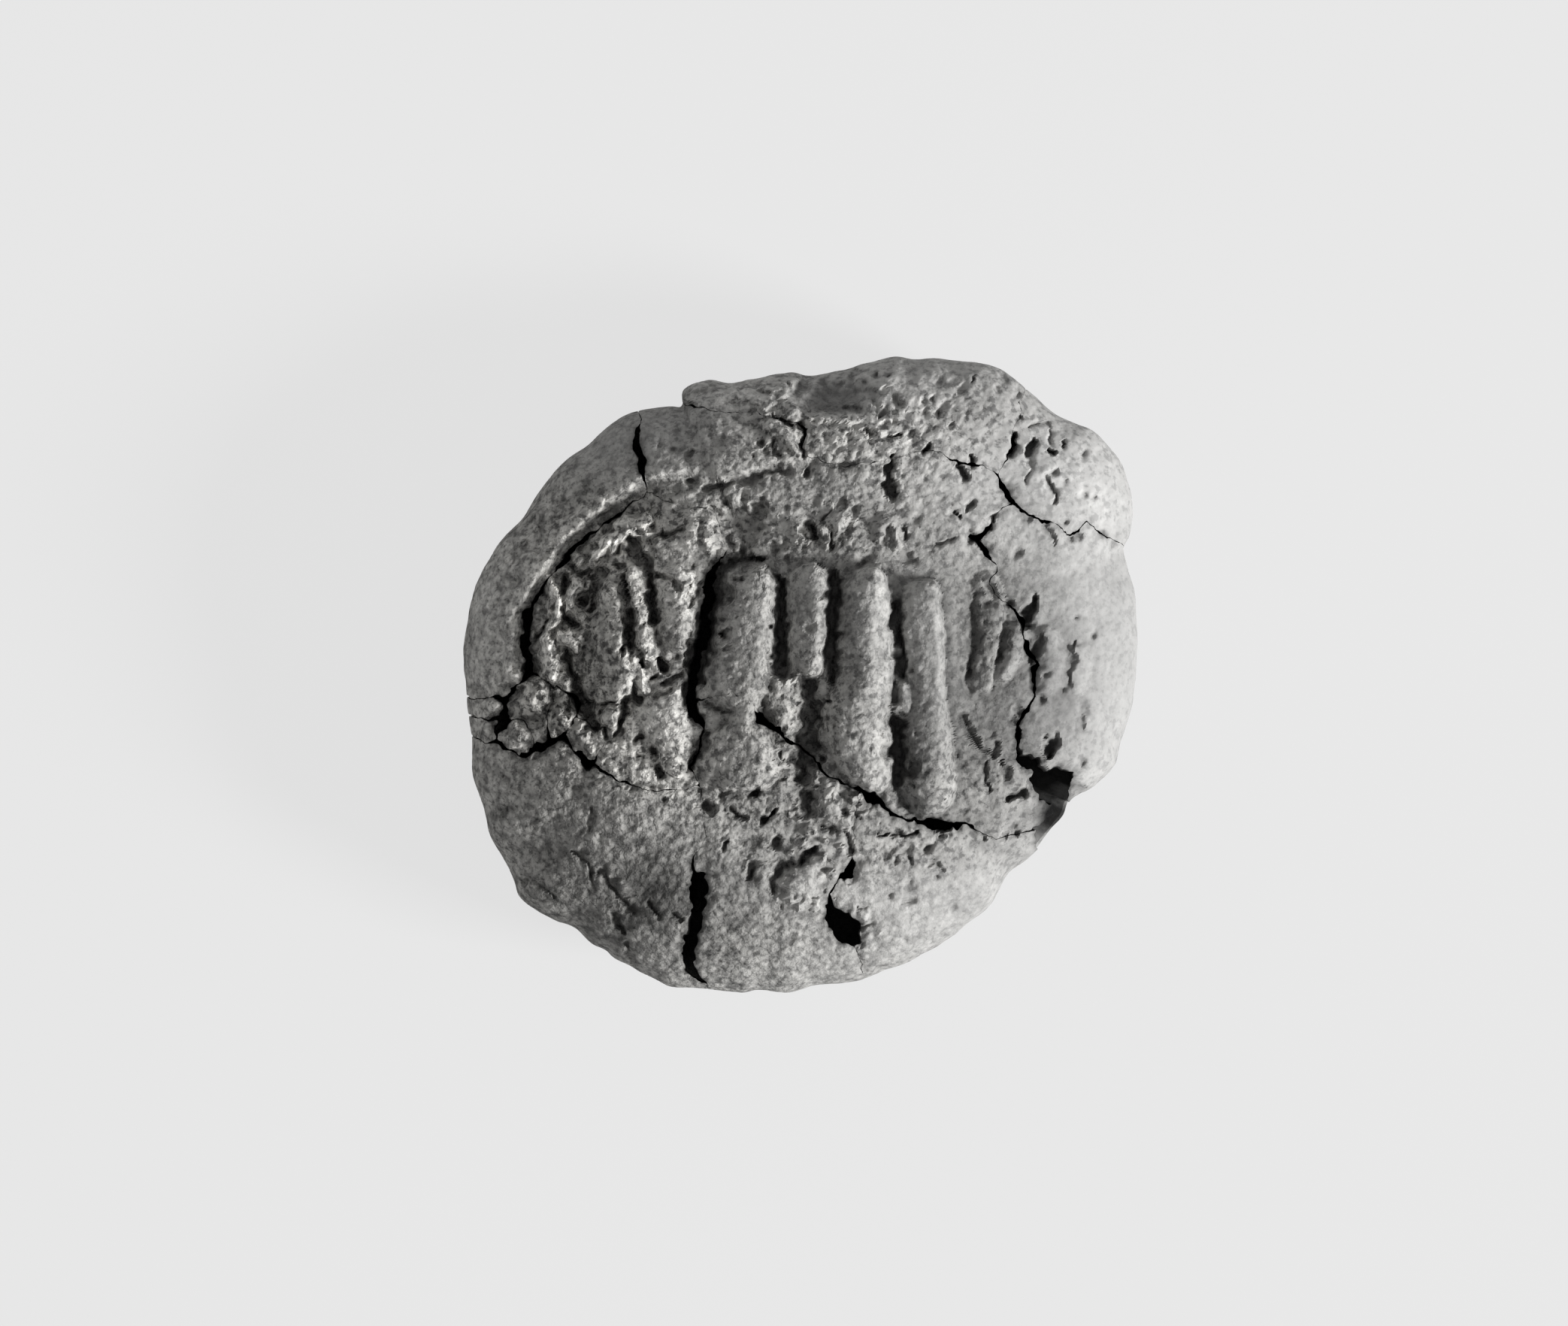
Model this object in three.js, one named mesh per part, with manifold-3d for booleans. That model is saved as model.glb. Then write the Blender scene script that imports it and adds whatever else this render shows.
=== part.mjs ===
// A clay bulla: a lump of clay pressed round a cord and stamped with a seal.
// The clay has dried and cracked. A whole back body carries the cord's channel, and the
// stamped layer over it is broken along its cracks into fragments, each a piece of its own.
// Millimetres: +X runs to the right of the stamped face, +Y to its top and +Z out of it.
// The flat back lies at z = 0, with the origin at its middle.

import * as THREE from 'three';
import { mergeVertices } from 'three/addons/utils/BufferGeometryUtils.js';
import Module from 'manifold-3d';

const wasm = await Module();
wasm.setup();

// The lump
const bullaWidth = 25;
const bullaHeight = 23.6;
const backThickness = 3.9;
const layerClearance = 0.3;
const edgeThickness = 0.6;
const domeRise = 4.4;
const domeFullness = 2.4;
const backFullness = 2.2;
const backBaseShare = 0.72;
const backTopShare = 0.994;
const layerFootShare = 0.996;

// The cord's channel
const cordDiameter = 1.9;
const channelStartShare = [-1.12, -0.15];
const channelEndShare = [1.12, -0.385];

// The seal's sunk field, whose rim still stands at the upper left
const fieldDepth = 0.62;
const fieldWallWidth = 0.9;
const fieldFadeWidth = 4.2;

// The relief on the field: rises and depths from the plain face, how deep the raised forms are
// rooted in it, and the width from which a bar stands to its full rise
const barRise = 0.95;
const slotDepth = 0.72;
const broadRise = 0.6;
const rootDepth = 0.5;
const barEndWidth = 0.87;

// The cracks
const crackWidth = 0.3;
const overrun = 1;

// Fineness of the facets
const gridCellCount = 40;
const edgeCrowdShare = 0.08;
const edgeCrowdPower = 9;
const outlineStepCount = 480;
const backSideCount = 84;
const backRingShares = [0, 0.07, 0.2, 0.4, 0.68, 1];
const capStepCount = 3;
const channelSideCount = 12;
const beyondAngle = THREE.MathUtils.degToRad(12);
const beyondShare = 1.5;

const halfWidth = bullaWidth / 2;
const halfHeight = bullaHeight / 2;
const layerFoot = backThickness + layerClearance;
const edgeHeight = layerFoot + edgeThickness;
const crownHeight = edgeHeight + domeRise;
const cutTop = crownHeight + barRise + overrun;
const cutBottom = layerFoot - layerClearance / 2;

// The outline of the face, anticlockwise from the right
const outlineShares = [
  [1.0, 0.12], [0.994, 0.249], [0.972, 0.331], [0.956, 0.39], [0.972, 0.44], [0.977, 0.534],
  [0.968, 0.596], [0.941, 0.673], [0.903, 0.725], [0.858, 0.765], [0.805, 0.789], [0.754, 0.817],
  [0.696, 0.867], [0.649, 0.914], [0.591, 0.956], [0.535, 0.978], [0.457, 0.987], [0.386, 0.998],
  [0.33, 0.992], [0.281, 1.0], [0.207, 0.982], [0.116, 0.954], [0.016, 0.94], [-0.045, 0.95],
  [-0.152, 0.928], [-0.212, 0.914], [-0.279, 0.919], [-0.348, 0.886], [-0.356, 0.836],
  [-0.392, 0.834], [-0.479, 0.822], [-0.511, 0.8125], [-0.562, 0.784], [-0.606, 0.746],
  [-0.644, 0.711], [-0.698, 0.678], [-0.749, 0.622], [-0.798, 0.548], [-0.834, 0.485],
  [-0.885, 0.428], [-0.925, 0.364], [-0.957, 0.296], [-0.977, 0.211], [-0.994, 0.119],
  [-1.0, 0.041], [-0.99, -0.088], [-0.981, -0.185], [-0.972, -0.324], [-0.943, -0.416],
  [-0.93, -0.499], [-0.899, -0.56], [-0.858, -0.633], [-0.834, -0.699], [-0.78, -0.749],
  [-0.725, -0.782], [-0.671, -0.805], [-0.624, -0.85], [-0.58, -0.869], [-0.553, -0.897],
  [-0.493, -0.93], [-0.426, -0.966], [-0.379, -0.985], [-0.303, -0.989], [-0.178, -0.998],
  [-0.12, -0.987], [-0.029, -0.998], [0.04, -0.98], [0.154, -0.97], [0.259, -0.93],
  [0.343, -0.893], [0.43, -0.836], [0.482, -0.791], [0.553, -0.735], [0.582, -0.69],
  [0.618, -0.624], [0.671, -0.579], [0.709, -0.541], [0.749, -0.485], [0.776, -0.449],
  [0.8, -0.397], [0.867, -0.355], [0.928, -0.291], [0.95, -0.209], [0.981, -0.112], [0.994, -0.015],
];

// Places where cracks meet
const rimCornerShare = [-0.455, 0.575];
const rimFootShare = [-0.8, 0.005];
const crumbTopShare = [-0.88, -0.085];
const crumbSideShare = [-0.885, -0.145];
const crumbKneeShare = [-0.89, -0.17];
const crumbBaseShare = [-0.905, -0.215];
const crumbHeelShare = [-0.795, -0.245];
const crumbGapShare = [-0.75, -0.222];
const crumbRootShare = [-0.71, -0.205];
const crumbHeadShare = [-0.735, -0.035];
const crumbBrowShare = [-0.675, -0.06];
const crumbBendShare = [-0.665, -0.13];
const crumbTipShare = [-0.625, -0.28];
const valleyForkShare = [-0.32, -0.08];
const lowerForkShare = [-0.305, -0.345];
const middleForkShare = [0.165, -0.365];
const edgeForkShare = [0.725, -0.47];
const cordHoleShare = [0.735, -0.345];
const upperForkShare = [0.577, 0.628];
const rightForkShare = [0.632, 0.53];

// Each crack as a line of places, with its width there as a share of crackWidth
const crackShares = {
  upperLeft: {
    lineShares: [[-0.58, 1.0], [-0.485, 0.82], [-0.477, 0.785], [-0.49, 0.735], [-0.487, 0.695],
      [-0.472, 0.66], [-0.465, 0.62], rimCornerShare],
    widthShares: [1, 1, 1, 1.2, 1.5, 1.7, 1.3, 1],
  },
  border: {
    lineShares: [rimCornerShare, [-0.475, 0.548], [-0.515, 0.53], [-0.54, 0.502], [-0.6, 0.457],
      [-0.645, 0.42], [-0.69, 0.37], [-0.74, 0.318], [-0.782, 0.25], [-0.803, 0.18],
      [-0.812, 0.1], rimFootShare],
    widthShares: [1, 1, 1.1, 1.3, 1.3, 1.3, 1.1, 1, 1.3, 1.6, 1.6, 1.6],
  },
  rimFoot: {
    lineShares: [rimFootShare, [-0.84, -0.03], crumbTopShare, [-0.92, -0.072], [-0.955, -0.085],
      [-1.0, -0.07], [-1.12, -0.07]],
    widthShares: [1.5, 1.1, 1.3, 1, 1, 1, 1],
  },
  left: {
    lineShares: [[-1.12, -0.2], [-0.985, -0.198], [-0.94, -0.22], crumbBaseShare, [-0.88, -0.245],
      [-0.84, -0.257], crumbHeelShare, crumbGapShare, crumbRootShare, [-0.68, -0.232],
      [-0.65, -0.25], crumbTipShare, [-0.595, -0.3], [-0.56, -0.32], [-0.5, -0.35],
      [-0.42, -0.365], [-0.35, -0.36], lowerForkShare],
    widthShares: [1, 1, 1, 1.2, 1.1, 1.1, 1.4, 2.3, 1.2, 1.1, 1.2, 1.8, 1.3, 1.1, 1, 1, 1, 1],
  },
  crumbLevel: {
    lineShares: [[-1.12, -0.135], [-0.97, -0.135], [-0.93, -0.145], crumbSideShare],
    widthShares: [1, 1, 1, 1.3],
  },
  crumbUpright: {
    lineShares: [crumbTopShare, [-0.876, -0.115], crumbSideShare, crumbKneeShare, [-0.905, -0.192],
      crumbBaseShare],
    widthShares: [1.3, 1.6, 1.8, 1.5, 1.2, 1.2],
  },
  crumbArch: {
    lineShares: [crumbKneeShare, [-0.86, -0.148], [-0.828, -0.16], [-0.803, -0.19], crumbHeelShare],
    widthShares: [1.4, 1.1, 1.1, 1, 1.1],
  },
  crumbDivide: {
    lineShares: [rimFootShare, [-0.768, -0.014], crumbHeadShare, [-0.735, -0.075], [-0.752, -0.12],
      [-0.76, -0.17], crumbGapShare],
    widthShares: [1.5, 1.1, 1, 1, 1, 1, 1.3],
  },
  crumbHook: {
    lineShares: [crumbHeadShare, [-0.705, -0.05], crumbBrowShare, [-0.66, -0.095], crumbBendShare,
      [-0.69, -0.175], crumbRootShare],
    widthShares: [1, 1, 1.2, 1.2, 1, 1, 1.1],
  },
  crumbEdge: {
    lineShares: [crumbBendShare, [-0.635, -0.148], [-0.604, -0.172], [-0.585, -0.207], [-0.6, -0.25],
      crumbTipShare],
    widthShares: [1, 1.1, 1, 1, 1, 1.4],
  },
  fieldEdge: {
    lineShares: [rimCornerShare, [-0.41, 0.537], [-0.35, 0.52], [-0.3, 0.52], [-0.258, 0.5],
      [-0.242, 0.445], [-0.225, 0.39], [-0.252, 0.347], [-0.286, 0.3], [-0.292, 0.22],
      [-0.295, 0.13], [-0.322, 0.05], [-0.332, -0.02], valleyForkShare, [-0.315, -0.12],
      [-0.285, -0.17], [-0.31, -0.25], [-0.33, -0.29], lowerForkShare],
    widthShares: [1, 1, 1, 1, 1.1, 1, 1, 1, 1.3, 1.7, 1.6, 1.5, 1.4, 1.7, 1.8, 1.2, 1.3, 1.1, 1],
  },
  lower: {
    lineShares: [lowerForkShare, [-0.294, -0.4], [-0.288, -0.45], [-0.285, -0.51], [-0.306, -0.55],
      [-0.322, -0.595], [-0.304, -0.65], [-0.302, -0.72], [-0.315, -0.79], [-0.325, -0.85],
      [-0.334, -0.9], [-0.316, -0.942], [-0.287, -0.97], [-0.27, -1.12]],
    widthShares: [1, 1, 1, 1, 1, 1.4, 2.5, 2.3, 2, 1.7, 1.7, 1.4, 1.2, 1.2],
  },
  middle: {
    lineShares: [valleyForkShare, [-0.285, -0.09], [-0.25, -0.078], [-0.21, -0.065], [-0.17, -0.075],
      [-0.14, -0.1], [-0.118, -0.142], [-0.06, -0.175], [-0.042, -0.207], [-0.005, -0.225],
      [0.03, -0.265], [0.08, -0.322], [0.12, -0.35], middleForkShare, [0.2, -0.385],
      [0.255, -0.435], [0.3, -0.447], [0.37, -0.462], [0.42, -0.475], [0.485, -0.467],
      [0.525, -0.492], [0.58, -0.505], [0.64, -0.496], [0.68, -0.49], edgeForkShare],
    widthShares: [1.2, 1, 1, 1, 1, 1.2, 1.4, 1.2, 1.2, 1.1, 1.1, 1.1, 1, 1.2, 1.5, 1.1, 1, 1.3, 1.4,
      1.2, 1, 1, 1.1, 1.1, 1.3],
  },
  lowerRight: {
    lineShares: [middleForkShare, [0.158, -0.43], [0.15, -0.49], [0.16, -0.53], [0.15, -0.575],
      [0.137, -0.622], [0.1, -0.652], [0.083, -0.695], [0.082, -0.74], [0.11, -0.8],
      [0.155, -0.86], [0.178, -0.905], [0.19, -0.945], [0.21, -1.12]],
    widthShares: [1, 1, 1, 1, 1.2, 1.5, 1, 1.1, 1.4, 1.6, 1.1, 1, 1, 1],
  },
  top: {
    lineShares: [[-0.42, 0.97], [-0.36, 0.845], [-0.25, 0.828], [-0.16, 0.82], [-0.1, 0.802],
      [-0.045, 0.79], [0, 0.778], [0.015, 0.755], [0.008, 0.71], [0.018, 0.675], [0.07, 0.656],
      [0.13, 0.65], [0.2, 0.655], [0.262, 0.67], [0.31, 0.69], [0.36, 0.703], [0.41, 0.69],
      [0.46, 0.662], [0.51, 0.66], upperForkShare],
    widthShares: [1, 1, 1, 1, 1, 1, 1.1, 1.2, 1.1, 1, 1, 1, 1, 1, 1, 1.1, 1, 1.2, 1.1, 1],
  },
  upperRight: {
    lineShares: [[0.75, 1.0], [0.668, 0.89], [0.65, 0.855], [0.66, 0.825], [0.648, 0.795],
      [0.628, 0.762], [0.633, 0.72], [0.617, 0.685], [0.597, 0.656], upperForkShare],
    widthShares: [1, 1, 1, 1, 1, 1, 1.2, 1.1, 1, 1],
  },
  right: {
    lineShares: [upperForkShare, [0.592, 0.6], [0.612, 0.565], rightForkShare, [0.65, 0.51],
      [0.69, 0.485], [0.715, 0.467], [0.75, 0.47], [0.797, 0.432], [0.82, 0.45], [0.842, 0.48],
      [0.867, 0.458], [0.9, 0.432], [0.965, 0.395], [1.12, 0.35]],
    widthShares: [1, 1.1, 1.1, 1.1, 1, 1, 1.1, 1, 1.1, 1, 1.1, 1.1, 1.1, 1, 1],
  },
  cord: {
    lineShares: [rightForkShare, [0.598, 0.523], [0.568, 0.503], [0.56, 0.468], [0.515, 0.435],
      [0.545, 0.39], [0.576, 0.352], [0.558, 0.3], [0.58, 0.252], [0.615, 0.215], [0.648, 0.172],
      [0.662, 0.12], [0.67, 0.075], [0.694, 0.03], [0.687, -0.035], [0.687, -0.08],
      [0.67, -0.122], [0.645, -0.165], [0.635, -0.22], [0.646, -0.262], [0.69, -0.29],
      cordHoleShare],
    widthShares: [1, 1, 1, 1, 1.3, 1.4, 1, 1.1, 1, 1.1, 1.6, 1.2, 1.2, 1.4, 1.2, 1.1, 1.1, 1.1, 1.1,
      1.6, 1.8, 1.8],
  },
  cordMouth: {
    lineShares: [cordHoleShare, [0.767, -0.405], [0.748, -0.445], edgeForkShare, [0.708, -0.51],
      [0.712, -0.56], [0.8, -0.7]],
    widthShares: [1.8, 1.5, 1.3, 1.8, 1.5, 1, 1],
  },
};

// Holes where the clay has dropped out from the face down to the back body
const holeShares = {
  cordHole: [[0.668, -0.325], [0.69, -0.298], [0.74, -0.295], [0.806, -0.304], [0.8, -0.338],
    [0.787, -0.365], [0.792, -0.4], [0.775, -0.432], [0.755, -0.442], [0.745, -0.41],
    [0.748, -0.386], [0.7, -0.386], [0.678, -0.36]],
  lowerHole: [[0.066, -0.735], [0.1, -0.746], [0.146, -0.757], [0.163, -0.8], [0.168, -0.852],
    [0.13, -0.85], [0.092, -0.83], [0.069, -0.795]],
};

// Upright bars of the impression: the rise as a share of barRise, then rows from the top down,
// each with its place up the face, its left edge, its crest and its right edge
const barShares = {
  wideBar: {
    riseShare: 1,
    rowShares: [[0.335, -0.17, -0.15, -0.13], [0.32, -0.215, -0.155, -0.1],
      [0.3, -0.24, -0.15, -0.09], [0.2, -0.25, -0.148, -0.078], [0.1, -0.285, -0.15, -0.083],
      [0, -0.3, -0.155, -0.09], [-0.05, -0.3, -0.16, -0.1], [-0.08, -0.27, -0.165, -0.11],
      [-0.12, -0.2, -0.165, -0.13]],
  },
  wideBoss: {
    riseShare: 0.9,
    rowShares: [[-0.165, -0.2, -0.165, -0.14], [-0.19, -0.27, -0.14, -0.085],
      [-0.22, -0.31, -0.13, -0.06], [-0.27, -0.32, -0.125, -0.05], [-0.32, -0.3, -0.135, -0.065],
      [-0.36, -0.25, -0.155, -0.105], [-0.38, -0.2, -0.17, -0.15]],
  },
  shortBar: {
    riseShare: 0.9,
    rowShares: [[0.33, 0, 0.02, 0.03], [0.31, -0.03, 0.03, 0.055], [0.27, -0.045, 0.037, 0.07],
      [0.15, -0.045, 0.04, 0.078], [0.05, -0.045, 0.037, 0.07], [0.01, -0.03, 0.03, 0.06],
      [-0.01, 0, 0.02, 0.04]],
  },
  longBar: {
    riseShare: 1,
    rowShares: [[0.305, 0.17, 0.2, 0.225], [0.28, 0.13, 0.2, 0.25], [0.2, 0.107, 0.2, 0.262],
      [0.1, 0.112, 0.2, 0.275], [0, 0.12, 0.2, 0.272], [-0.1, 0.065, 0.185, 0.255],
      [-0.2, 0.055, 0.185, 0.26], [-0.3, 0.1, 0.195, 0.27], [-0.34, 0.14, 0.2, 0.255],
      [-0.37, 0.18, 0.2, 0.22]],
  },
  ridgeBar: {
    riseShare: 0.95,
    rowShares: [[0.29, 0.34, 0.37, 0.39], [0.26, 0.3, 0.393, 0.42], [0.15, 0.295, 0.396, 0.422],
      [0, 0.31, 0.396, 0.422], [-0.1, 0.32, 0.395, 0.427], [-0.15, 0.31, 0.393, 0.437],
      [-0.25, 0.3, 0.388, 0.45], [-0.35, 0.295, 0.383, 0.462], [-0.4, 0.31, 0.38, 0.45],
      [-0.43, 0.35, 0.38, 0.41]],
  },
  lowBar: {
    riseShare: 0.36,
    rowShares: [[0.27, 0.535, 0.548, 0.56], [0.24, 0.517, 0.548, 0.577],
      [0.12, 0.513, 0.543, 0.572], [0, 0.5, 0.532, 0.565], [-0.04, 0.52, 0.535, 0.55]],
  },
  leftColumn: {
    riseShare: 0.62,
    rowShares: [[0.3, -0.6, -0.575, -0.55], [0.26, -0.61, -0.56, -0.53],
      [0.2, -0.615, -0.555, -0.522], [0.12, -0.61, -0.545, -0.512], [0.05, -0.6, -0.53, -0.497],
      [-0.02, -0.59, -0.52, -0.49], [-0.07, -0.58, -0.54, -0.505], [-0.1, -0.56, -0.54, -0.52]],
  },
  leftRidge: {
    riseShare: 0.52,
    rowShares: [[0.34, -0.5, -0.487, -0.475], [0.3, -0.51, -0.48, -0.46],
      [0.2, -0.49, -0.47, -0.45], [0.04, -0.485, -0.46, -0.445], [0, -0.48, -0.46, -0.45]],
  },
  leftLobe: {
    riseShare: 0.6,
    rowShares: [[0.325, -0.4, -0.38, -0.35], [0.28, -0.415, -0.358, -0.32],
      [0.2, -0.42, -0.352, -0.31], [0.14, -0.415, -0.358, -0.315], [0.09, -0.4, -0.37, -0.34]],
  },
  leftMound: {
    riseShare: 0.42,
    rowShares: [[0.01, -0.45, -0.42, -0.39], [-0.05, -0.49, -0.415, -0.345],
      [-0.13, -0.5, -0.405, -0.335], [-0.2, -0.48, -0.4, -0.33], [-0.27, -0.46, -0.39, -0.335],
      [-0.32, -0.42, -0.385, -0.35]],
  },
};

// Raised strokes of the impression: a line of places, half widths as shares of the face's half
// width, and the rise as a share of barRise
const raisedShares = {
  borderRidge: {
    lineShares: [[-0.61, 0.35], [-0.55, 0.43], [-0.5, 0.46], [-0.44, 0.49]],
    halfWidthShares: [0.018, 0.024, 0.022, 0.018],
    riseShare: 0.35,
  },
  leftLine: {
    lineShares: [[-0.725, 0.3], [-0.72, 0.22], [-0.745, 0.15], [-0.75, 0.05]],
    halfWidthShares: [0.02, 0.02, 0.022, 0.02],
    riseShare: 0.35,
  },
  leftLump: {
    lineShares: [[-0.7, 0.12], [-0.675, 0.08]],
    halfWidthShares: [0.03, 0.03],
    riseShare: 0.5,
  },
  ringLump: { lineShares: [[-0.67, 0.25]], halfWidthShares: [0.032], riseShare: 0.35 },
  hangingLump: { lineShares: [[-0.555, -0.13]], halfWidthShares: [0.035], riseShare: 0.5 },
  crumbledLump: {
    lineShares: [[-0.06, -0.03], [-0.04, -0.1], [-0.02, -0.18]],
    halfWidthShares: [0.045, 0.055, 0.03],
    riseShare: 0.5,
  },
  sideLump: {
    lineShares: [[0.3, -0.04], [0.3, -0.1]],
    halfWidthShares: [0.028, 0.027],
    riseShare: 0.45,
  },
  middleBoss: { lineShares: [[0.085, -0.425]], halfWidthShares: [0.068], riseShare: 0.55 },
  lowerBoss: {
    lineShares: [[-0.025, -0.655], [0.02, -0.635]],
    halfWidthShares: [0.062, 0.064],
    riseShare: 0.5,
  },
  smoothSlope: { lineShares: [[-0.1, -0.62]], halfWidthShares: [0.04], riseShare: 0.28 },
  upperLump: { lineShares: [[0.19, -0.768]], halfWidthShares: [0.03], riseShare: 0.4 },
  underLump: { lineShares: [[0.188, -0.838]], halfWidthShares: [0.034], riseShare: 0.4 },
  fieldBoss: { lineShares: [[0.1, 0.46]], halfWidthShares: [0.036], riseShare: 0.3 },
  fieldArc: {
    lineShares: [[0.225, 0.42], [0.23, 0.46], [0.26, 0.487], [0.283, 0.455], [0.29, 0.41]],
    halfWidthShares: [0.014, 0.016, 0.016, 0.016, 0.014],
    riseShare: 0.28,
  },
  smoothPatch: {
    lineShares: [[-0.268, 0.44], [-0.25, 0.385]],
    halfWidthShares: [0.042, 0.034],
    riseShare: 0.34,
  },
  topWedge: {
    lineShares: [[-0.08, 0.77], [-0.04, 0.735]],
    halfWidthShares: [0.028, 0.026],
    riseShare: 0.28,
  },
};

// Sunk strokes in the same way, the depth as a share of slotDepth
const sunkShares = {
  valley: {
    lineShares: [[-0.272, 0.29], [-0.275, 0.2], [-0.3, 0.1], [-0.316, 0.03], [-0.32, -0.03]],
    halfWidthShares: [0.036, 0.03, 0.024, 0.02, 0.018],
    depthShare: 1.1,
  },
  valleyTop: {
    lineShares: [[-0.262, 0.305], [-0.235, 0.33], [-0.19, 0.342], [-0.12, 0.34]],
    halfWidthShares: [0.03, 0.028, 0.024, 0.016],
    depthShare: 0.9,
  },
  barGap: {
    lineShares: [[-0.062, 0.27], [-0.062, 0.01]],
    halfWidthShares: [0.018, 0.02],
    depthShare: 1.1,
  },
  barSlot: {
    lineShares: [[0.105, 0.285], [0.092, 0.2], [0.087, 0.1], [0.087, -0.02]],
    halfWidthShares: [0.015, 0.017, 0.017, 0.015],
    depthShare: 1,
  },
  ridgeSlot: {
    lineShares: [[0.27, 0.235], [0.277, 0.15], [0.287, 0.11], [0.297, 0.04], [0.3, -0.01]],
    halfWidthShares: [0.014, 0.014, 0.013, 0.015, 0.013],
    depthShare: 0.9,
  },
  footSlot: {
    lineShares: [[0.275, -0.16], [0.285, -0.25], [0.285, -0.33]],
    halfWidthShares: [0.016, 0.024, 0.02],
    depthShare: 1,
  },
  middleGap: {
    lineShares: [[0.028, -0.03], [0.032, -0.15], [0.035, -0.28]],
    halfWidthShares: [0.02, 0.024, 0.022],
    depthShare: 0.75,
  },
  columnSlot: {
    lineShares: [[-0.655, -0.02], [-0.645, -0.07], [-0.63, -0.13]],
    halfWidthShares: [0.024, 0.03, 0.024],
    depthShare: 1,
  },
  lobeGroove: {
    lineShares: [[-0.445, 0.3], [-0.435, 0.24], [-0.43, 0.17]],
    halfWidthShares: [0.01, 0.012, 0.013],
    depthShare: 0.8,
  },
  lobePit: { lineShares: [[-0.405, 0.03]], halfWidthShares: [0.018], depthShare: 0.8 },
  columnPit: { lineShares: [[-0.635, 0.23]], halfWidthShares: [0.016], depthShare: 0.7 },
  upperRecess: {
    lineShares: [[-0.205, 0.495], [-0.185, 0.44], [-0.17, 0.42]],
    halfWidthShares: [0.045, 0.05, 0.04],
    depthShare: 0.55,
  },
  topGroove: {
    lineShares: [[-0.27, 0.58], [-0.15, 0.607], [-0.04, 0.627]],
    halfWidthShares: [0.013, 0.012, 0.01],
    depthShare: 0.3,
  },
  uprightPit: {
    lineShares: [[0.265, 0.675], [0.26, 0.64], [0.252, 0.605], [0.268, 0.575]],
    halfWidthShares: [0.008, 0.015, 0.015, 0.022],
    depthShare: 0.9,
  },
  topHollow: {
    lineShares: [[0.05, 0.872], [0.14, 0.872]],
    halfWidthShares: [0.05, 0.056],
    depthShare: 0.45,
  },
  arcStrip: {
    lineShares: [[0.03, 0.462], [0.035, 0.43], [0.05, 0.41]],
    halfWidthShares: [0.012, 0.014, 0.01],
    depthShare: 0.6,
  },
  bossShade: {
    lineShares: [[0.015, -0.385], [0.025, -0.43]],
    halfWidthShares: [0.02, 0.02],
    depthShare: 0.5,
  },
  slantPit: {
    lineShares: [[-0.112, -0.457], [-0.078, -0.425]],
    halfWidthShares: [0.012, 0.014],
    depthShare: 0.8,
  },
  roundPit: { lineShares: [[-0.135, -0.37]], halfWidthShares: [0.02], depthShare: 0.8 },
  bossRim: {
    lineShares: [[-0.035, -0.595], [-0.062, -0.617], [-0.08, -0.645], [-0.087, -0.68]],
    halfWidthShares: [0.012, 0.014, 0.013, 0.01],
    depthShare: 0.5,
  },
  cornerPit: {
    lineShares: [[0.012, -0.585], [0.036, -0.54]],
    halfWidthShares: [0.014, 0.012],
    depthShare: 0.7,
  },
  darkPit: {
    lineShares: [[0.676, 0.225], [0.67, 0.185]],
    halfWidthShares: [0.022, 0.02],
    depthShare: 0.9,
  },
  rightSlot: {
    lineShares: [[0.614, 0.135], [0.606, 0.08], [0.592, 0.04]],
    halfWidthShares: [0.012, 0.012, 0.01],
    depthShare: 0.6,
  },
  fieldGroove: {
    lineShares: [[0.47, -0.12], [0.49, -0.18], [0.52, -0.23], [0.56, -0.25]],
    halfWidthShares: [0.01, 0.012, 0.012, 0.01],
    depthShare: 0.35,
  },
  cordPit: {
    lineShares: [[0.732, -0.225], [0.735, -0.262]],
    halfWidthShares: [0.013, 0.013],
    depthShare: 0.8,
  },
  pitLine: {
    lineShares: [[0.475, 0.638], [0.485, 0.612]],
    halfWidthShares: [0.013, 0.013],
    depthShare: 0.7,
  },
  cornerSlot: {
    lineShares: [[0.69, 0.732], [0.679, 0.7]],
    halfWidthShares: [0.01, 0.01],
    depthShare: 0.7,
  },
  firstHairline: {
    lineShares: [[-0.68, -0.555], [-0.622, -0.6], [-0.615, -0.67]],
    halfWidthShares: [0.01, 0.012, 0.01],
    depthShare: 0.35,
  },
  secondHairline: {
    lineShares: [[-0.59, -0.61], [-0.562, -0.66], [-0.53, -0.71], [-0.49, -0.742]],
    halfWidthShares: [0.01, 0.013, 0.012, 0.01],
    depthShare: 0.4,
  },
  thirdHairline: {
    lineShares: [[-0.552, -0.75], [-0.54, -0.78], [-0.522, -0.815]],
    halfWidthShares: [0.01, 0.013, 0.011],
    depthShare: 0.5,
  },
};

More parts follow.
